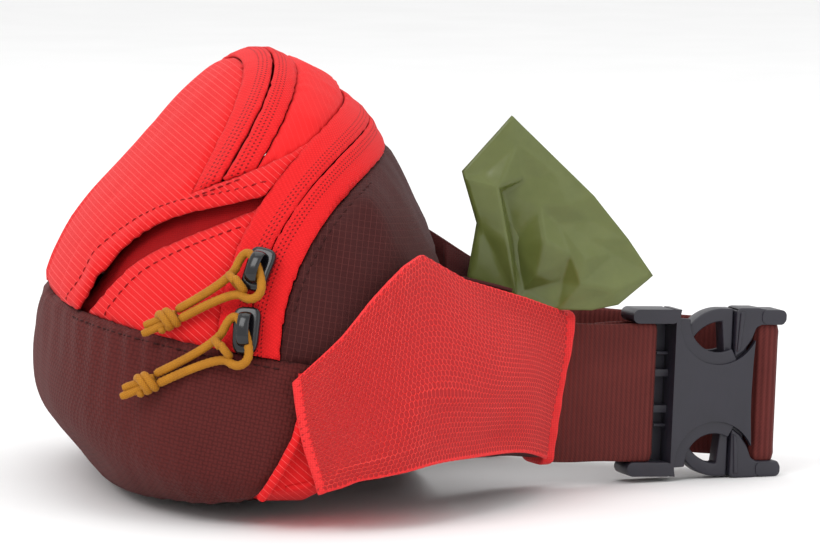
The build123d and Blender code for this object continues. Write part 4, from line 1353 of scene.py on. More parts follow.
def lofted(name, keys, slot, side, count=60, thickness=1.0, ripple=0.5, seed=0.0):
    """Cloth through key columns, with a little slackness."""
    grid, length = spread(keys, count)
    patch = Patch(grid, length, 1.0)
    rows, cols = grid.shape[:2]
    flat = grid.reshape(-1, 3)
    from_ends = [np.minimum(np.arange(n), np.arange(n)[::-1]) for n in (rows, cols)]
    edge = np.minimum.outer(from_ends[0] / 3, from_ends[1] / 4)
    push = ripple * wrinkled(flat, 11.0, seed) * np.clip(edge, 0, 1).ravel()
    flat = flat + patch.normal.reshape(-1, 3) * push[:, None]
    heights = np.linspace(0, 1, rows) * np.linalg.norm(grid[-1] - grid[0], axis=1).mean()
    uv = np.array([(length * j / (cols - 1), heights[i]) for i in range(rows) for j in range(cols)])
    obj = new_mesh(name, flat * (side, 1, 1), grid_faces(rows, cols, flip=side < 0), slot, uv=uv)
    use(obj, "SOLIDIFY", "cloth", thickness=thickness * MM, offset=0.0)
    return obj


def columns_between(lows, highs, bow=0.0, out=(1, 0, 0), count=14):
    """Columns of points from each low point to its high point, bowed out in the middle."""
    v = np.linspace(0, 1, count)[:, None]
    bowed = np.array(out) * bow * np.sin(math.pi * v)
    return np.array([a + (b - a) * v + bowed for a, b in zip(np.array(lows, float), np.array(highs, float))])


UPWARD = (0, 0, 1)
# piece, node, slot, points along its lower edge, points along its upper edge, bow, bow's direction, settings
WING_CLOTHS = [
    ("lining_cloth", "lining", "lining", LINING_FOOT, LINING_RIM, -0.6, (1, 0, 0), dict(seed=2)),
    ("foam_sheet", "foam", "foam", [(37.2, 75.4, 12), (33.9, 80.9, 12), (30, 86.4, 12)],
     [(37.2, 75.4, 44), (33.9, 80.9, 44), (30, 86.4, 44)], 0, UPWARD,
     dict(thickness=1.4, ripple=0.1, count=16)),
    ("top_cloth", "top", "lining", [(71, 67.5, 60.4), (61.4, 76.6, 57.4), (55.4, 82.4, 55.4)],
     [(43.8, 67.5, 55.4), (35.8, 76.6, 52.6), (32, 82.4, 50.6)], 1, UPWARD, dict(count=24, seed=4)),
    ("top_end_cloth", "top_end", "lining", [(38.4, 96.7, 49.3), (38, 97.35, 49.3), (37.6, 98, 49.1)],
     [(27.4, 96.7, 49.1), (27.2, 97.35, 49.1), (27, 98, 48.9)], 0, UPWARD,
     dict(count=8, thickness=0.9, ripple=0.05)),
    ("floor_cloth", "floor", "lining", [(82, 67.2, 15.6), (59.4, 84.4, 13.2), (42.8, 93, 9.6)],
     [(42.4, 68.2, 8.8), (30, 86, 7.8), (27.6, 97, 6.8)], -0.8, UPWARD, dict(count=30, seed=6)),
]
GROUND_ROWS, GROUND_COLUMNS, GROUND_DEPTH = 30, 70, 0.75
ALL_ALONG = np.linspace(0, wing_length, 40)
ALL_UP = np.linspace(-0.4, WING_HEIGHT + 0.4, 20)
for side, word in ((1, "right"), (-1, "left")):
    honeycomb(word + "_wing_honeycomb", side, word + "_wing_mesh")
    inside = [np.linspace(0.5, size - 0.5, count)
              for size, count in ((wing_length, GROUND_COLUMNS), (WING_HEIGHT, GROUND_ROWS))]
    u, v = (a.ravel() for a in np.meshgrid(*inside))
    # the ground sheet behind the honeycomb, its red darkened with painted shade
    ground = wing.at(u, v, wing_sag(u, v) - GROUND_DEPTH) * (side, 1, 1)
    faces = grid_faces(GROUND_ROWS, GROUND_COLUMNS, flip=side < 0)
    piece = new_mesh(word + "_wing_ground", ground, faces, "red_mesh", uv=np.stack([u, v], axis=1),
                     material="red_mesh_ground_painted_shade")
    use(piece, "SOLIDIFY", "cloth", thickness=0.5 * MM, offset=0.0)
    wing_hem(word + "_wing_front_hem", [1.2] * 20, ALL_UP, 3.0, side, 0.3, 0.8)
    wing_hem(word + "_wing_top_hem", ALL_ALONG, [WING_HEIGHT - 0.7] * 40, 1.8, side, 0.2, 0.7)
    wing_hem(word + "_wing_lower_hem", ALL_ALONG, [0.7] * 40, 1.8, side, 0.2, 0.7)
    for name, node, slot, lows, highs, bow, out, facts in WING_CLOTHS:
        piece = lofted(f"{word}_{name}", columns_between(lows, highs, bow, out), slot, side, **facts)
        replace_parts(piece, f"{word}_wing_{node}")


# ------------------------------------------------------------------ belt frame, as in part.py
BAR = np.array((22.0, 123.2, 23.2))
WEB_WIDTH, WEB, WEB_Z = 38.0, 1.5, 4.3
belt_turn = np.array(Matrix.Rotation(math.radians(12), 3, "Z") @ Matrix.Rotation(math.radians(-2.5), 3, "X"))


def in_world(points):
    """Points of the belt's frame, which is turned about the buckle's bar, in the whole part's frame."""
    return (np.asarray(points, float) - BAR) @ belt_turn.T + BAR


def in_belt(point):
    return (np.asarray(point, float) - BAR) @ belt_turn + BAR


def rounded(points, radii, steps=10):
    """A path seen from above with its corners rounded."""
    p = np.array(points, float)
    out = [p[0]]
    for a, b, c, r in zip(p[:-2], p[1:-1], p[2:], radii):
        u, w = (a - b) / np.linalg.norm(a - b), (c - b) / np.linalg.norm(c - b)
        half = math.acos(np.clip(u @ w, -1, 1)) / 2
        reach = r / math.tan(half)
        centre = b + (u + w) / np.linalg.norm(u + w) * r / math.sin(half)
        s, e = b + u * reach - centre, b + w * reach - centre
        turn = math.atan2(s[0] * e[1] - s[1] * e[0], s @ e)
        for k in range(steps + 1):
            c, d = math.cos(turn * k / steps), math.sin(turn * k / steps)
            out.append(centre + np.array((s[0] * c - s[1] * d, s[0] * d + s[1] * c)))
    out.append(p[-1])
    return np.array(out)


RIB_RELIEF, SELVEDGE_RELIEF = 0.17, 0.12


def webbing(name, path, waver, body="pack", low=WEB_Z, width=WEB_WIDTH, thickness=WEB, seed=0.0, rib=1.45):
    """Ribbed webbing on edge along a path seen from above, in the belt's frame."""
    path = resample(path, 0.24)
    s = length_along(path)
    t = np.gradient(path, axis=0)
    t /= np.linalg.norm(t, axis=1)[:, None]
    n = np.stack([t[:, 1], -t[:, 0]], axis=1)
    across = np.linspace(0, 1, 17)
    across = 0.5 - 0.5 * np.cos(across * math.pi) * (0.55 + 0.45 * np.abs(np.cos(across * math.pi)))
    ring = [(a, 1) for a in across] + [(a, -1) for a in across[::-1]]
    points, uv = [], []
    slow = waver * np.sin(s * 0.09 + seed) + waver * 0.5 * np.sin(s * 0.23 + seed * 2)
    for a, face in ring:
        edge = min(a, 1 - a) * width
        half = thickness / 2 * (0.55 + 0.45 * min(1.0, edge / 1.2))
        ribs = RIB_RELIEF * np.abs(np.sin(math.pi * s / rib)) * min(1.0, edge)
        selvedge = SELVEDGE_RELIEF * math.exp(-((edge - 1.6) / 0.7) ** 2)
        off = face * (half - 0.12 + ribs + selvedge) + slow * (a - 0.5) * 0.9
        frayed = (1 if a > 0.5 else -1) * (abs(a - 0.5) * 2) ** 4
        z = low + a * width + 0.12 * np.sin(s * 0.31 + seed) * frayed
        points.append(np.stack([path[:, 0] + n[:, 0] * off, path[:, 1] + n[:, 1] * off, z + 0 * s], axis=1))
        uv.append(np.stack([s, np.full(len(s), a * width)], axis=1))
    flat = in_world(np.array(points).reshape(-1, 3))
    count = len(path)
    faces = grid_faces(len(ring), count, close_rows=True)
    faces.append(tuple(i * count for i in range(len(ring))))
    faces.append(tuple((len(ring) - 1 - i) * count + count - 1 for i in range(len(ring))))
    return new_mesh(name, flat, faces, "webbing", body, np.vstack(uv))


BAR_D = 4.0
round_bar = BAR_D / 2 + 0.3 + WEB / 2
right_path = rounded([
    (BAR[0] + 4.0, 96.0), (BAR[0] + round_bar, BAR[1] + round_bar), (BAR[0] - round_bar, BAR[1] + round_bar),
    (BAR[0] - round_bar + 0.2, BAR[1] - 4), (BAR[0] + 1.3, BAR[1] - 15),
], [round_bar - 0.05, round_bar - 0.05, 3.0])
piece = webbing("right_strap", right_path, waver=0.12)
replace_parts(piece, "right_webbing")

MALE_BAR = (157.6, 161.6)
turn = 1.5 + 0.3 + WEB / 2
outer_turn, inner_turn = MALE_BAR[1] + 0.3 + WEB / 2, MALE_BAR[0] - 0.3 - WEB / 2
root = in_belt((-33, 95, BAR[2]))[:2]
corner = np.array((17.0, outer_turn))
lead = (corner - root) / np.linalg.norm(corner - root)
foot = corner + np.array((lead[1], -lead[0])) * 2.7
tail_corner = foot - lead * ((foot[1] - inner_turn) / lead[1])
reach = np.linalg.norm(corner - root)
main_run = webbing("left_strap", [root, root + lead * (reach - 4.5)], body=None, waver=0.3, seed=1.0)
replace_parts(main_run, "left_webbing")
end = in_world([*(root + lead * (reach - 6)), BAR[2]]) * MM
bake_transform(main_run)
turn_path = rounded([
    root + lead * (reach - 5.0), corner, (BAR[0] + turn, outer_turn), (BAR[0] + turn, inner_turn),
    tail_corner, tail_corner - lead * 54.0,
], [3.5, 2.5, 2.5, 3.5])
piece = webbing("adjusting_strap", turn_path, body="buckle_male", waver=0.0, seed=2.0)
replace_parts(piece, "webbing_turn")
# the folded and stitched end of the adjusting strap
tail = tail_corner - lead * 50.0
webbing("strap_end_fold", [tail, tail - lead * 6.5], waver=0.0, body="buckle_male", low=WEB_Z + 0.2,
        width=WEB_WIDTH - 0.4, thickness=2.2)


# ------------------------------------------------------------------ hard parts, softened from the CAD
SHARP = math.radians(28)  # edges sharper than this are rounded


def softened(name, node, slot, body, width, segments):
    """A copy of a CAD part with rounded edges."""
    mesh = nodes_of[node].data.copy()
    mesh.name = name
    bm = bmesh.new()
    bm.from_mesh(mesh)
    bmesh.ops.remove_doubles(bm, verts=bm.verts[:], dist=0.002 * MM)
    bmesh.ops.dissolve_limit(bm, angle_limit=math.radians(1.5), verts=bm.verts[:], edges=bm.edges[:])
    bm.to_mesh(mesh)
    bm.free()
    obj = bpy.data.objects.new(name, mesh)
    bpy.context.scene.collection.objects.link(obj)
    mesh.materials.clear()
    mesh.materials.append(materials[slot])
    mesh.polygons.foreach_set("use_smooth", [True] * len(mesh.polygons))
    mesh.polygons.foreach_set("material_index", [0] * len(mesh.polygons))
    use(obj, "BEVEL", "edges", width=width * MM, segments=segments, limit_method="ANGLE",
        angle_limit=SHARP, harden_normals=True)
    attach(obj, body)
    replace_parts(obj, node)


softened("buckle_socket", "buckle_female", "charcoal_plastic", "pack", 1.0, 4)
softened("buckle_plug", "buckle_male", "charcoal_plastic", "buckle_male", 0.9, 4)
softened("upper_arm", "prong_upper", "charcoal_plastic", "prong_upper", 1.0, 4)
softened("lower_arm", "prong_lower", "charcoal_plastic", "prong_lower", 1.0, 4)


SHIELD_SECTIONS = ((0.0, 0.86), (0.1, 0.97), (0.3, 1.0), (0.7, 1.0), (0.9, 0.96), (1.0, 0.84), (1.0, 0.5))


def slider_body(name, node, body, along, side, rise=1.0):
    """A zip slider: a rounded shield, and the bridge that holds its pull."""
    verts = np.array([v.co[:] for v in nodes_of[node].data.vertices]) / MM
    middle = (verts.min(axis=0) + verts.max(axis=0)) / 2
    _, normals = on_skin([(middle[1], middle[2])], side, 0)
    n = normals[0]
    ty, tz = along(middle[1], middle[2])
    t = np.array([-(n[1] * ty + n[2] * tz) / n[0], ty, tz])
    t /= np.linalg.norm(t)
    s = np.cross(n, t)
    a, b, h = (verts - middle) @ t, (verts - middle) @ s, (verts - middle) @ n
    middle = middle + t * (a.max() + a.min()) / 2 + s * (b.max() + b.min()) / 2
    long, wide = (a.max() - a.min()) / 2, (b.max() - b.min()) / 2
    low, top = h.min(), h.min() + (h.max() - h.min()) * rise
    shelf = low + 0.4 * (top - low)
    around = 40
    points = []
    for share, scale in SHIELD_SECTIONS:
        for k in range(around):
            q = 2 * math.pi * k / around
            c, d = math.cos(q), math.sin(q)
            p = long * math.copysign(abs(c) ** 0.62, c)
            w = wide * math.copysign(abs(d) ** 0.62, d) * (0.86 + 0.14 * (p / long) ** 2 + 0.06 * p / long)
            points.append(middle + t * p * scale + s * w * scale + n * (low + (shelf - low) * share))
    tiers = len(SHIELD_SECTIONS)
    faces = grid_faces(tiers, around, close_columns=True)
    faces += [tuple(range(around))[::-1], tuple(range((tiers - 1) * around, tiers * around))]
    first, steps, ring = len(points), 22, 12
    for j in range(steps):
        q = math.pi * j / (steps - 1)
        p = -math.cos(q) * long * 0.66
        rise_by = math.sin(q) ** 0.5 if 0 < j < steps - 1 else 0.0
        height = shelf - 0.4 + (top - 0.5 - shelf + 0.4) * rise_by
        slope = np.array((math.sin(q) + 0.05, math.cos(q) * 0.9))
        slope /= np.linalg.norm(slope)
        up = n * slope[0] - t * slope[1]
        for k in range(ring):
            r = 2 * math.pi * k / ring
            section = s * math.cos(r) * wide * 0.42 + up * math.sin(r) * 0.55
            points.append(middle + t * p + n * height + section)
    faces += [tuple(first + i for i in f) for f in grid_faces(steps, ring, close_columns=True)]
    last = first + (steps - 1) * ring
    faces += [tuple(range(first, first + ring))[::-1], tuple(range(last, last + ring))]
    obj = new_mesh(name, points, faces, "black_metal", body)
    mesh_faces_outward(obj)
    use(obj, "SUBSURF", "soft", levels=1, render_levels=1)
    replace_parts(obj, node)


def mesh_faces_outward(obj):
    bm = bmesh.new()
    bm.from_mesh(obj.data)
    bmesh.ops.recalc_face_normals(bm, faces=bm.faces[:])
    bm.to_mesh(obj.data)
    bm.free()


def round_zip(y, z):
    """The main zip's direction in the side view."""
    out = np.array((y - MAIN_ZIP[0], z - MAIN_ZIP[1]))
    return (out[1], -out[0]) / np.linalg.norm(out)


def straight_zip(y, z):
    run = np.array(ZIP_HEAD) - np.array(ZIP_FOOT)
    return run / np.linalg.norm(run)


slider_body("main_slider_upper_metal", "main_slider_upper", "upper_slider", round_zip, 1)
slider_body("main_slider_lower_metal", "main_slider_lower", "lower_slider", round_zip, 1)
slider_body("front_slider_metal", "front_slider", "front_slider", straight_zip, -1, 0.8)


def belt_slab(name, outline, low, high, body, bevel):
    """A moulded slab in the belt's frame, given its outline seen from the side and its depth."""
    count = len(outline)
    points = [(x, y, z) for x in (low, high) for y, z in outline]
    faces = [tuple(range(count)), tuple(range(count, 2 * count))[::-1]]
    faces += [(k, k + count, (k + 1) % count + count, (k + 1) % count) for k in range(count)]
    obj = new_mesh(name, in_world(np.array(points, float)), faces, "charcoal_plastic", body)
    mesh_faces_outward(obj)
    use(obj, "BEVEL", "edges", width=bevel * MM, segments=3, limit_method="ANGLE", angle_limit=SHARP,
        harden_normals=True)


BUCKLE_LOW, BUCKLE_TOP = 0.2, 46.4
BUCKLE_MID = (BUCKLE_LOW + BUCKLE_TOP) / 2
BAY = (144.3, 43.2)
LIP_INNER, LIP_OUTER = 8.6, 12.3
SHOULDER = [(149.3, 33.0), (152, 34.8), (154.2, 37.8), (155.6, 41.4), (157.2, 42.2), (163.6, 42.2),
            (164.4, 43.2), (163.8, 44.8), (161.6, 46.0), (156, 46.9), (150.2, 46.9), (149.3, 46.0)]
RIDGE = [(149.7, 34.5), (150.9, 35.4), (151.8, 45.8), (150.4, 45.8)]
FRAME_Y = (127.4, 133.0)
RIB_Y, RIB_Z, RIB_HEIGHT = (127.8, 132.8), (13.4, 18.6, 28.2, 33.4), 0.9


def ring_part(radius, angles):
    return [(BAY[0] + radius * math.cos(q), BAY[1] + radius * math.sin(q)) for q in angles]


def buckle_details():
    """The lips round the socket's bays, the plug's shoulders and ridges, and the socket's open frame."""
    arc = [math.radians(-184 + 122 * k / 30) for k in range(31)]
    lip = ring_part(LIP_OUTER, arc) + ring_part(LIP_INNER, arc[::-1])
    for word, up in (("upper", 1), ("lower", -1)):
        for name, outline, low, high, body, bevel in (
            ("socket_lip_", lip, 25.1, 26.2, "pack", 0.4),
            ("socket_back_lip_", lip, 17.8, 18.9, "pack", 0.4),
            ("plug_shoulder_", SHOULDER, 18.0, 26.1, "buckle_male", 0.9),
            ("plug_ridge_", RIDGE, 25.6, 26.6, "buckle_male", 0.45),
        ):
            turned = [(y, BUCKLE_MID + up * (z - BUCKLE_MID)) for y, z in outline]
            belt_slab(name + word, turned, low, high, body, bevel)
    front, rear = FRAME_Y
    back = [(front, 2.4), (rear, 2.4), (rear, 44.2), (front, 44.2)]
    belt_slab("socket_frame_back", back, 17.5, 18.9, "pack", 0.3)
    front, rear = RIB_Y
    for number, z in enumerate(RIB_Z, 1):
        rib = [(front, z), (rear, z), (rear, z + RIB_HEIGHT), (front, z + RIB_HEIGHT)]
        belt_slab(f"socket_frame_rib_{number}", rib, 18.6, 21.5, "pack", 0.2)


buckle_details()


BINDING_OUTLINE = [(24.2, 97.4), (30.6, 99.2), (37.4, 101.5), (36.2, 105.0), (29.6, 103.1), (22.8, 101.0)]
BINDING_FOOT, BINDING_HEIGHT = 5.4, 42.4
SLANT_AT = (8, 18, 29, 38, 47)  # heights
SLANT_BY = (-8.6, -7.0, -5.2, -3.0, -2.0)  # shift along y at those heights


def end_binding(word, side):
    """The folded binding over the wing's end, round the webbing that is sewn into it."""
    outline = BINDING_OUTLINE
    points, rows, uv = [], 30, []
    ring = []
    for (ax, ay), (bx, by) in zip(outline, outline[1:] + outline[:1]):
        for k in range(5):
            ring.append((ax + (bx - ax) * k / 5, ay + (by - ay) * k / 5))
    ring = np.array(ring)
    middle = ring.mean(axis=0)
    for i in range(rows):
        t = i / (rows - 1)
        z = BINDING_FOOT + BINDING_HEIGHT * t
        round_in = 1 - 0.35 * max(0.0, abs(2 * t - 1) - 0.93) / 0.07
        slant = float(np.interp(z, SLANT_AT, SLANT_BY))
        for k, (x, y) in enumerate(ring):
            px = middle[0] + (x - middle[0]) * round_in
            py = middle[1] + (y - middle[1]) * round_in
            puff = 0.18 * math.sin(z * 0.9 + k * 0.5)
            points.append(((px + puff - 0.5 * slant) * side, py + slant + puff * 0.4, z))
            uv.append((z, k * 0.9))
    count = len(ring)
    faces = grid_faces(rows, count, close_columns=True, flip=side < 0)
    faces.append(tuple(range(count))[:: -1 if side > 0 else 1])
    faces.append(tuple(range((rows - 1) * count, rows * count))[:: 1 if side > 0 else -1])
    obj = new_mesh(word + "_end_binding", points, faces, "red_ripstop", "pack", uv, material="wing_hem")
    use(obj, "SUBSURF", "soft", levels=1, render_levels=1)
    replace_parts(obj, word + "_wing_end")


end_binding("right", 1)
end_binding("left", -1)
softened("roll_tube", "roll_core", "roll_card", "bag_roll", 0.12, 2)


ROLL_CENTRE, ROLL_AXIS = (48.3, 81.0, 24.0), (-0.838, 0.545, 0.0)
ROLL_INNER, ROLL_OUTER, ROLL_LENGTH = 2.8, 5.9, 28.6


def bag_roll():
    """Bags wound on their core: a spiral of film whose ends are not quite even."""
    centre, axis = np.array(ROLL_CENTRE), np.array(ROLL_AXIS)
    axis /= np.linalg.norm(axis)
    up = np.array((0, 0, 1.0))
    side = np.cross(axis, up)
    turns, layers, around = 5.0, 8, 260
    points, uv = [], []
    for k in range(around):
        a = 2 * math.pi * turns * k / (around - 1)
        r = ROLL_INNER + (ROLL_OUTER - ROLL_INNER) * k / (around - 1)
        for m in range(layers):
            t = m / (layers - 1)
            along = (t - 0.5) * (ROLL_LENGTH - 0.5 * math.sin(a * 0.7) - 0.3 * math.sin(a * 2.3))
            bump = 0.06 * math.sin(3 * a + 5 * t) + 0.05 * math.sin(9 * t + a * 1.7)
            points.append(centre + axis * along + (side * math.cos(a) + up * math.sin(a)) * (r + bump))
            uv.append((a * r, along))
    obj = new_mesh("bag_roll_winding", points, grid_faces(around, layers), "green_film", "bag_roll", uv)
    use(obj, "SOLIDIFY", "film", thickness=0.28 * MM, offset=0.0)
    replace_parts(obj, "waste_bag_roll")


bag_roll()

# ------------------------------------------------------------------ the drawn bag
FILM_X = 39.9
# corners of the drawn bag and of its folds: across the side view, up, and how far off the middle plane
CORNERS = dict(
    top=(84.7, 101.1, 0.0), left=(71.1, 86.2, 0.3), notch=(71.6, 84.2, 1.0), waist=(75.2, 72.0, 2.0),
    foot=(72.4, 56.5, 1.0), strip_foot=(85.8, 51.5, 0.4), drawn=(96.9, 48.4, 0.6), sweep=(106, 48.3, 2.2),
    hem=(113.5, 49.6, 1.4), tip=(123.4, 57.2, -0.6), edge_low=(116.5, 67.3, 0.0),
    edge_mid=(107.0, 79.2, 0.3), edge_high=(97.0, 89.0, 0.0), edge_top=(87.4, 98.4, 0.0),
    strip_top=(80.4, 82.0, 3.4), strip_mid=(83.0, 67.0, 4.2), valley_top=(82.0, 80.4, -0.8),
    valley_mid=(85.4, 66.0, -2.2), valley_foot=(88.2, 53.6, -1.2), crease_a=(92.0, 76.4, 1.4),
    crease_b=(93.0, 67.6, 3.6), crease_c=(100.0, 63.6, 2.6), crease_d=(97.4, 71.6, 0.2),
    crease_e=(105.6, 67.6, 1.0), crease_f=(104.2, 62.6, 3.4), crease_g=(103.0, 55.4, 3.6),
    lobe=(112.6, 53.6, 3.4), pocket=(90.6, 57.6, 1.6), slope=(98.4, 56.0, -0.6), plain=(112.0, 63.0, 0.2),
    high_a=(85.8, 93.5, 0.6), high_b=(97.0, 84.6, 0.8), high_c=(76.0, 85.4, 0.6),
    middle=(88.0, 84.0, 0.0), upper=(100.0, 77.0, 1.4), right=(106.0, 72.6, -0.2),
)
OUTLINE = ["top", "left", "notch", "waist", "foot", "strip_foot", "drawn", "sweep", "hem", "tip",
           "edge_low", "edge_mid", "edge_high", "edge_top"]
CREASES = [
    "notch strip_top", "strip_top strip_mid", "strip_mid strip_foot", "waist strip_foot",
    "strip_top valley_top", "valley_top valley_mid", "valley_mid valley_foot", "valley_foot drawn",
    "crease_a crease_b", "crease_b crease_c", "crease_c crease_d", "crease_d crease_a",
    "crease_d crease_f", "crease_e crease_f", "crease_f crease_g", "crease_g drawn", "crease_c slope",
    "slope drawn", "lobe drawn", "lobe crease_g", "lobe hem", "high_a high_b", "high_b edge_mid",
    "high_c high_a", "notch high_c", "pocket strip_foot",
]


def film_layer(depth_of):
    """One face of the bag: flat facets between its folds, their edges softened a little."""
    names = list(CORNERS)
    flat = [Vector(CORNERS[n][:2]) for n in names]
    ring = [names.index(n) for n in OUTLINE]
    edges = list(zip(ring, ring[1:] + ring[:1]))
    edges += [tuple(names.index(n) for n in pair.split()) for pair in CREASES]
    made = geometry.delaunay_2d_cdt(flat, edges, [], 1, 0.05)
    bm = bmesh.new()
    known = np.array([CORNERS[n] for n in names])
    verts = []
    for p in made[0]:
        nearest = known[np.argmin(np.hypot(known[:, 0] - p.x, known[:, 1] - p.y))]
        verts.append(bm.verts.new((depth_of(nearest), p.x, p.y)))
    for face in made[2]:
        bm.faces.new([verts[k] for k in face])
    for _ in range(3):
        bmesh.ops.subdivide_edges(bm, edges=bm.edges[:], cuts=1, use_grid_fill=True)
    bmesh.ops.triangulate(bm, faces=bm.faces[:])
    inner = [v for v in bm.verts if not v.is_boundary]
    bmesh.ops.smooth_vert(bm, verts=inner, factor=0.35, use_axis_x=True)
    bmesh.ops.recalc_face_normals(bm, faces=bm.faces[:])
    bm.verts.index_update()
    points = np.array([v.co[:] for v in bm.verts])
    faces = [tuple(v.index for v in f.verts) for f in bm.faces]
    bm.free()
    return points, faces


def drawn_bag():
    front, faces = film_layer(lambda corner: FILM_X + 0.7 + corner[2])
    back, back_faces = film_layer(lambda corner: FILM_X - 1.1 - 0.25 * corner[2])
    for points, depth in ((front, 0.35), (back, 0.3)):
        points[:, 0] += depth * wrinkled(points * (0.4, 1, 1), 6.0, 3.0) + 0.12 * wrinkled(points, 2.4, 8.0)
    points = np.vstack([front, back])
    faces = faces + [tuple(len(front) + k for k in f[::-1]) for f in back_faces]
    obj = new_mesh("drawn_bag", points, faces, "green_film", "bag_film", points[:, 1:])
    use(obj, "SOLIDIFY", "film", thickness=0.12 * MM, offset=0.0)
    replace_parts(obj, "waste_bag_film")
    return obj


def bag_neck(rows=14, cols=12):
    """The bag gathered where it leaves the wing, in small pleats."""
    points = []
    for i in range(rows):
        t = i / (rows - 1)
        for j in range(cols):
            w = j / (cols - 1) - 0.5
            pleat = (1.3 - 0.7 * t) * math.sin(w * 21 + 0.6) * (0.6 + 0.4 * math.sin(t * 9))
            points.append((FILM_X + pleat, 90.8 + w * (7.0 + 4.0 * t), 36.5 + 14.5 * t))
    uv = np.array(points)[:, 1:]
    obj = new_mesh("drawn_bag_neck", points, grid_faces(rows, cols), "green_film", "bag_film", uv)
    use(obj, "SOLIDIFY", "film", thickness=0.2 * MM, offset=0.0)
    return obj


film, neck = drawn_bag(), bag_neck()


# ------------------------------------------------------------------ inside the pack
def divider(columns_out=40):
    """A wall inside the pack, across its whole width between the skin's sides."""
    line = resample(np.array([(-15.4, 13), (-8.5, 62), (14, 96)], float), 2.5)
    points = []
    for y, z in line:
        half = float(body_x(y, max(z, 3.0))) - 12.0
        for j in range(columns_out):
            points.append((half * (2 * j / (columns_out - 1) - 1), y, z))
    points = np.array(points)
    points[:, 1] += 0.5 * wrinkled(points, 18.0, 5.0)
    faces = grid_faces(len(line), columns_out)
    obj = new_mesh("divider_cloth", points, faces, "lining", uv=points[:, [0, 2]])
    use(obj, "SOLIDIFY", "cloth", thickness=0.9 * MM, offset=0.0)
    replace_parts(obj, "pocket_divider")


divider()


BACK_SET_IN, CROWN_SET_IN = 1.3, 1.5  # keep the pad behind the raised back cloth


def pillow(name, node, slot, cells=(14, 18)):
    """A padded board: the CAD part's box with a soft crowned face."""
    low, high = (np.array(c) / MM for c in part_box(node))
    rows, cols = cells
    points = []
    for face in (-1, 1):
        for i in range(rows):
            for j in range(cols):
                u, v = 2 * j / (cols - 1) - 1, 2 * i / (rows - 1) - 1
                su, sv = abs(u) ** 2.6, abs(v) ** 2.6
                pull = 1 - 0.04 * (su * sv)
                x = (low[0] + high[0]) / 2 + u * pull * (high[0] - low[0]) / 2
                z = (low[2] + high[2]) / 2 + v * pull * (high[2] - low[2]) / 2
                crown = (1 - su) ** 0.5 * (1 - sv) ** 0.5
                half = (high[1] - low[1]) / 2 * (0.25 + 0.75 * crown)
                y = (low[1] + high[1]) / 2 + face * half - BACK_SET_IN - CROWN_SET_IN * crown
                points.append((x, y, z))
    n = rows * cols
    faces = grid_faces(rows, cols) + [tuple(n + k for k in f[::-1]) for f in grid_faces(rows, cols)]
    rim = [j for j in range(cols)] + [i * cols + cols - 1 for i in range(1, rows)]
    rim += [(rows - 1) * cols + j for j in range(cols - 2, -1, -1)]
    rim += [i * cols for i in range(rows - 2, 0, -1)]
    for a, b in zip(rim, rim[1:] + rim[:1]):
        faces.append((b, a, n + a, n + b))
    obj = new_mesh(name, points, faces, slot, uv=np.array(points)[:, [0, 2]])
    use(obj, "SUBSURF", "soft", levels=1, render_levels=1)
    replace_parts(obj, node)


pillow("back_pad", "back_foam", "foam")


def pocket_bag(word, side, inset=5.0, count=12):
    """The pocket's lining, from under the front panel's hem down behind the pocket's edge, in a darker red
    that is painted shade inside the pocket.
    """
    v = np.linspace(0, 1, count)[:, None]
    points = []
    for y in range(-38, 22, 3):
        top = np.array((y, float(line_z(HEM, y)) + 4.0))
        foot = np.array((y, float(line_z(EDGE, y)) - 13.0))
        points.append(on_skin(top + (foot - top) * v, side, -inset)[0])
    flat = np.array(points).reshape(-1, 3)
    faces = grid_faces(len(points), count, flip=side > 0)
    obj = new_mesh(word + "_pocket_bag", flat, faces, "lining", uv=flat[:, 1:], material="pocket_inner_painted_shade")
    use(obj, "SOLIDIFY", "cloth", thickness=0.8 * MM, offset=0.0)
    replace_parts(obj, word + "_pocket_lining")


pocket_bag("right", 1)
pocket_bag("left", -1)


# ------------------------------------------------------------------ zip teeth under the tapes
def teeth(name, lines, pitch=1.25, coil=0.22):
    """Coil teeth: one row of fine turns each side of the line where the tapes meet."""
    points, faces = [], []
    for places, normals in lines:
        s = length_along(places)
        turns = np.arange(0, s[-1], 0.28)
        p = np.stack([np.interp(turns, s, places[:, k]) for k in range(3)], axis=1)
        n = np.stack([np.interp(turns, s, normals[:, k]) for k in range(3)], axis=1)
        t = np.gradient(p, axis=0)
        t /= np.linalg.norm(t, axis=1)[:, None]
        c = np.cross(n, t)
        a = turns * (2 * math.pi / pitch)
        centre = p + c * (0.62 * np.sin(a))[:, None] + n * (0.42 * np.cos(a) - 0.75)[:, None]
        made, shape, _ = swept(centre, 5, lambda s, whole, angle: (coil, 0.0))
        faces += [tuple(i + len(points) for i in f) for f in shape]
        points += list(made)
    piece = new_mesh(name + "_teeth", points, faces, "zip_tape", uv=np.zeros((len(points), 2)))
    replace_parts(piece, name + "_coil")


def both_sides(line, out):
    """A line carried over the whole bag, from its right end over the middle to its left end."""
    right, rn = on_skin(line, 1, out)
    left, ln = on_skin(line[::-1], -1, out)
    return np.vstack([right, left]), np.vstack([rn, ln])


def main_zip_line(offset):
    """The main zip's line from the right seam over the top to the left seam."""
    off_circle = [(math.hypot(y - MAIN_ZIP[0], z - MAIN_ZIP[1]) - MAIN_ZIP[2], y, z) for y, z in _top]
    crossing = [math.degrees(math.atan2(z - MAIN_ZIP[1], y - MAIN_ZIP[0])) for off, y, z in off_circle
                if abs(off) < 0.5 and z > 80]
    return both_sides(arc_line(offset, ZIP_END_ANGLE, min(crossing) + 0.4), UNDER_TAPE)


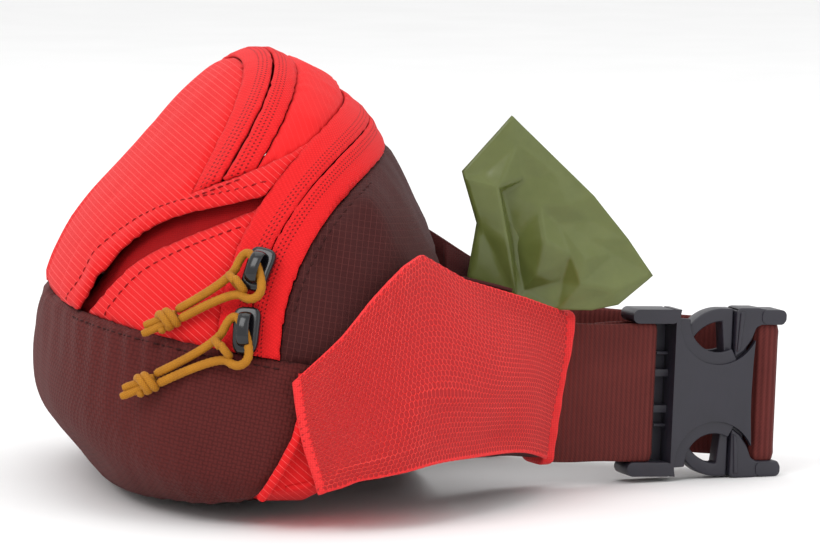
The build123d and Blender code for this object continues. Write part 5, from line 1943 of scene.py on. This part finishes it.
def front_zip_line(offset):
    """The front zip's line from its foot up to where it meets the body's outline."""
    run = np.array(ZIP_HEAD) - np.array(ZIP_FOOT)
    run /= np.hypot(*run)
    line = [np.array(ZIP_FOOT) + run * k for k in np.arange(0.0, 40.0, 0.25)]
    away = np.array(line) - CORE
    inside = np.hypot(away[:, 0], away[:, 1]) < reach_at(np.arctan2(away[:, 1], away[:, 0])) * 0.999
    shifted = np.array(line)[inside] + np.array((run[1], -run[0])) * offset
    return both_sides(shifted[:-3], UNDER_TAPE)


ZIP_END_ANGLE = 177.0  # degrees round the main zip's circle, at the seam with the base
UNDER_TAPE = -1.2
TEETH_APART = 1.1
teeth("main_zip", [main_zip_line(off) for off in (-TEETH_APART, TEETH_APART)])
teeth("front_zip", [front_zip_line(off) for off in (-TEETH_APART, TEETH_APART)])


# ------------------------------------------------------------------ stage and lights
FLOOR = -0.0016  # metres, about the height of the buckle's lowest points


def stage():
    mesh = bpy.data.meshes.new("floor")
    mesh.from_pydata([(-4, -4, FLOOR), (4, -4, FLOOR), (4, 4, FLOOR), (-4, 4, FLOOR)], [], [(0, 1, 2, 3)])
    floor = bpy.data.objects.new("floor", mesh)
    bpy.context.scene.collection.objects.link(floor)
    mesh.materials.append(materials["floor"])
    world = bpy.data.worlds.new("studio")
    world.use_nodes = True
    world.node_tree.nodes["Background"].inputs["Color"].default_value = (1.0, 1.0, 1.0, 1.0)
    world.node_tree.nodes["Background"].inputs["Strength"].default_value = 1.0
    bpy.context.scene.world = world
    for name, place, size, power in (
        ("key", (0.9, -0.9, 1.3), 0.9, 10.0),
        ("fill", (1.3, 0.8, 0.7), 1.2, 2.5),
        ("top", (-0.2, 0.1, 1.6), 1.4, 6.0),
        ("back", (-1.2, -0.6, 0.8), 1.0, 2.0),
    ):
        light = bpy.data.lights.new(name, "AREA")
        light.size, light.energy = size, power
        obj = bpy.data.objects.new(name, light)
        bpy.context.scene.collection.objects.link(obj)
        obj.location = place
        obj.rotation_euler = (Vector((0, 0.04, 0.05)) - obj.location).to_track_quat("-Z", "Y").to_euler()


stage()
bpy.context.scene.view_settings.view_transform = "Standard"
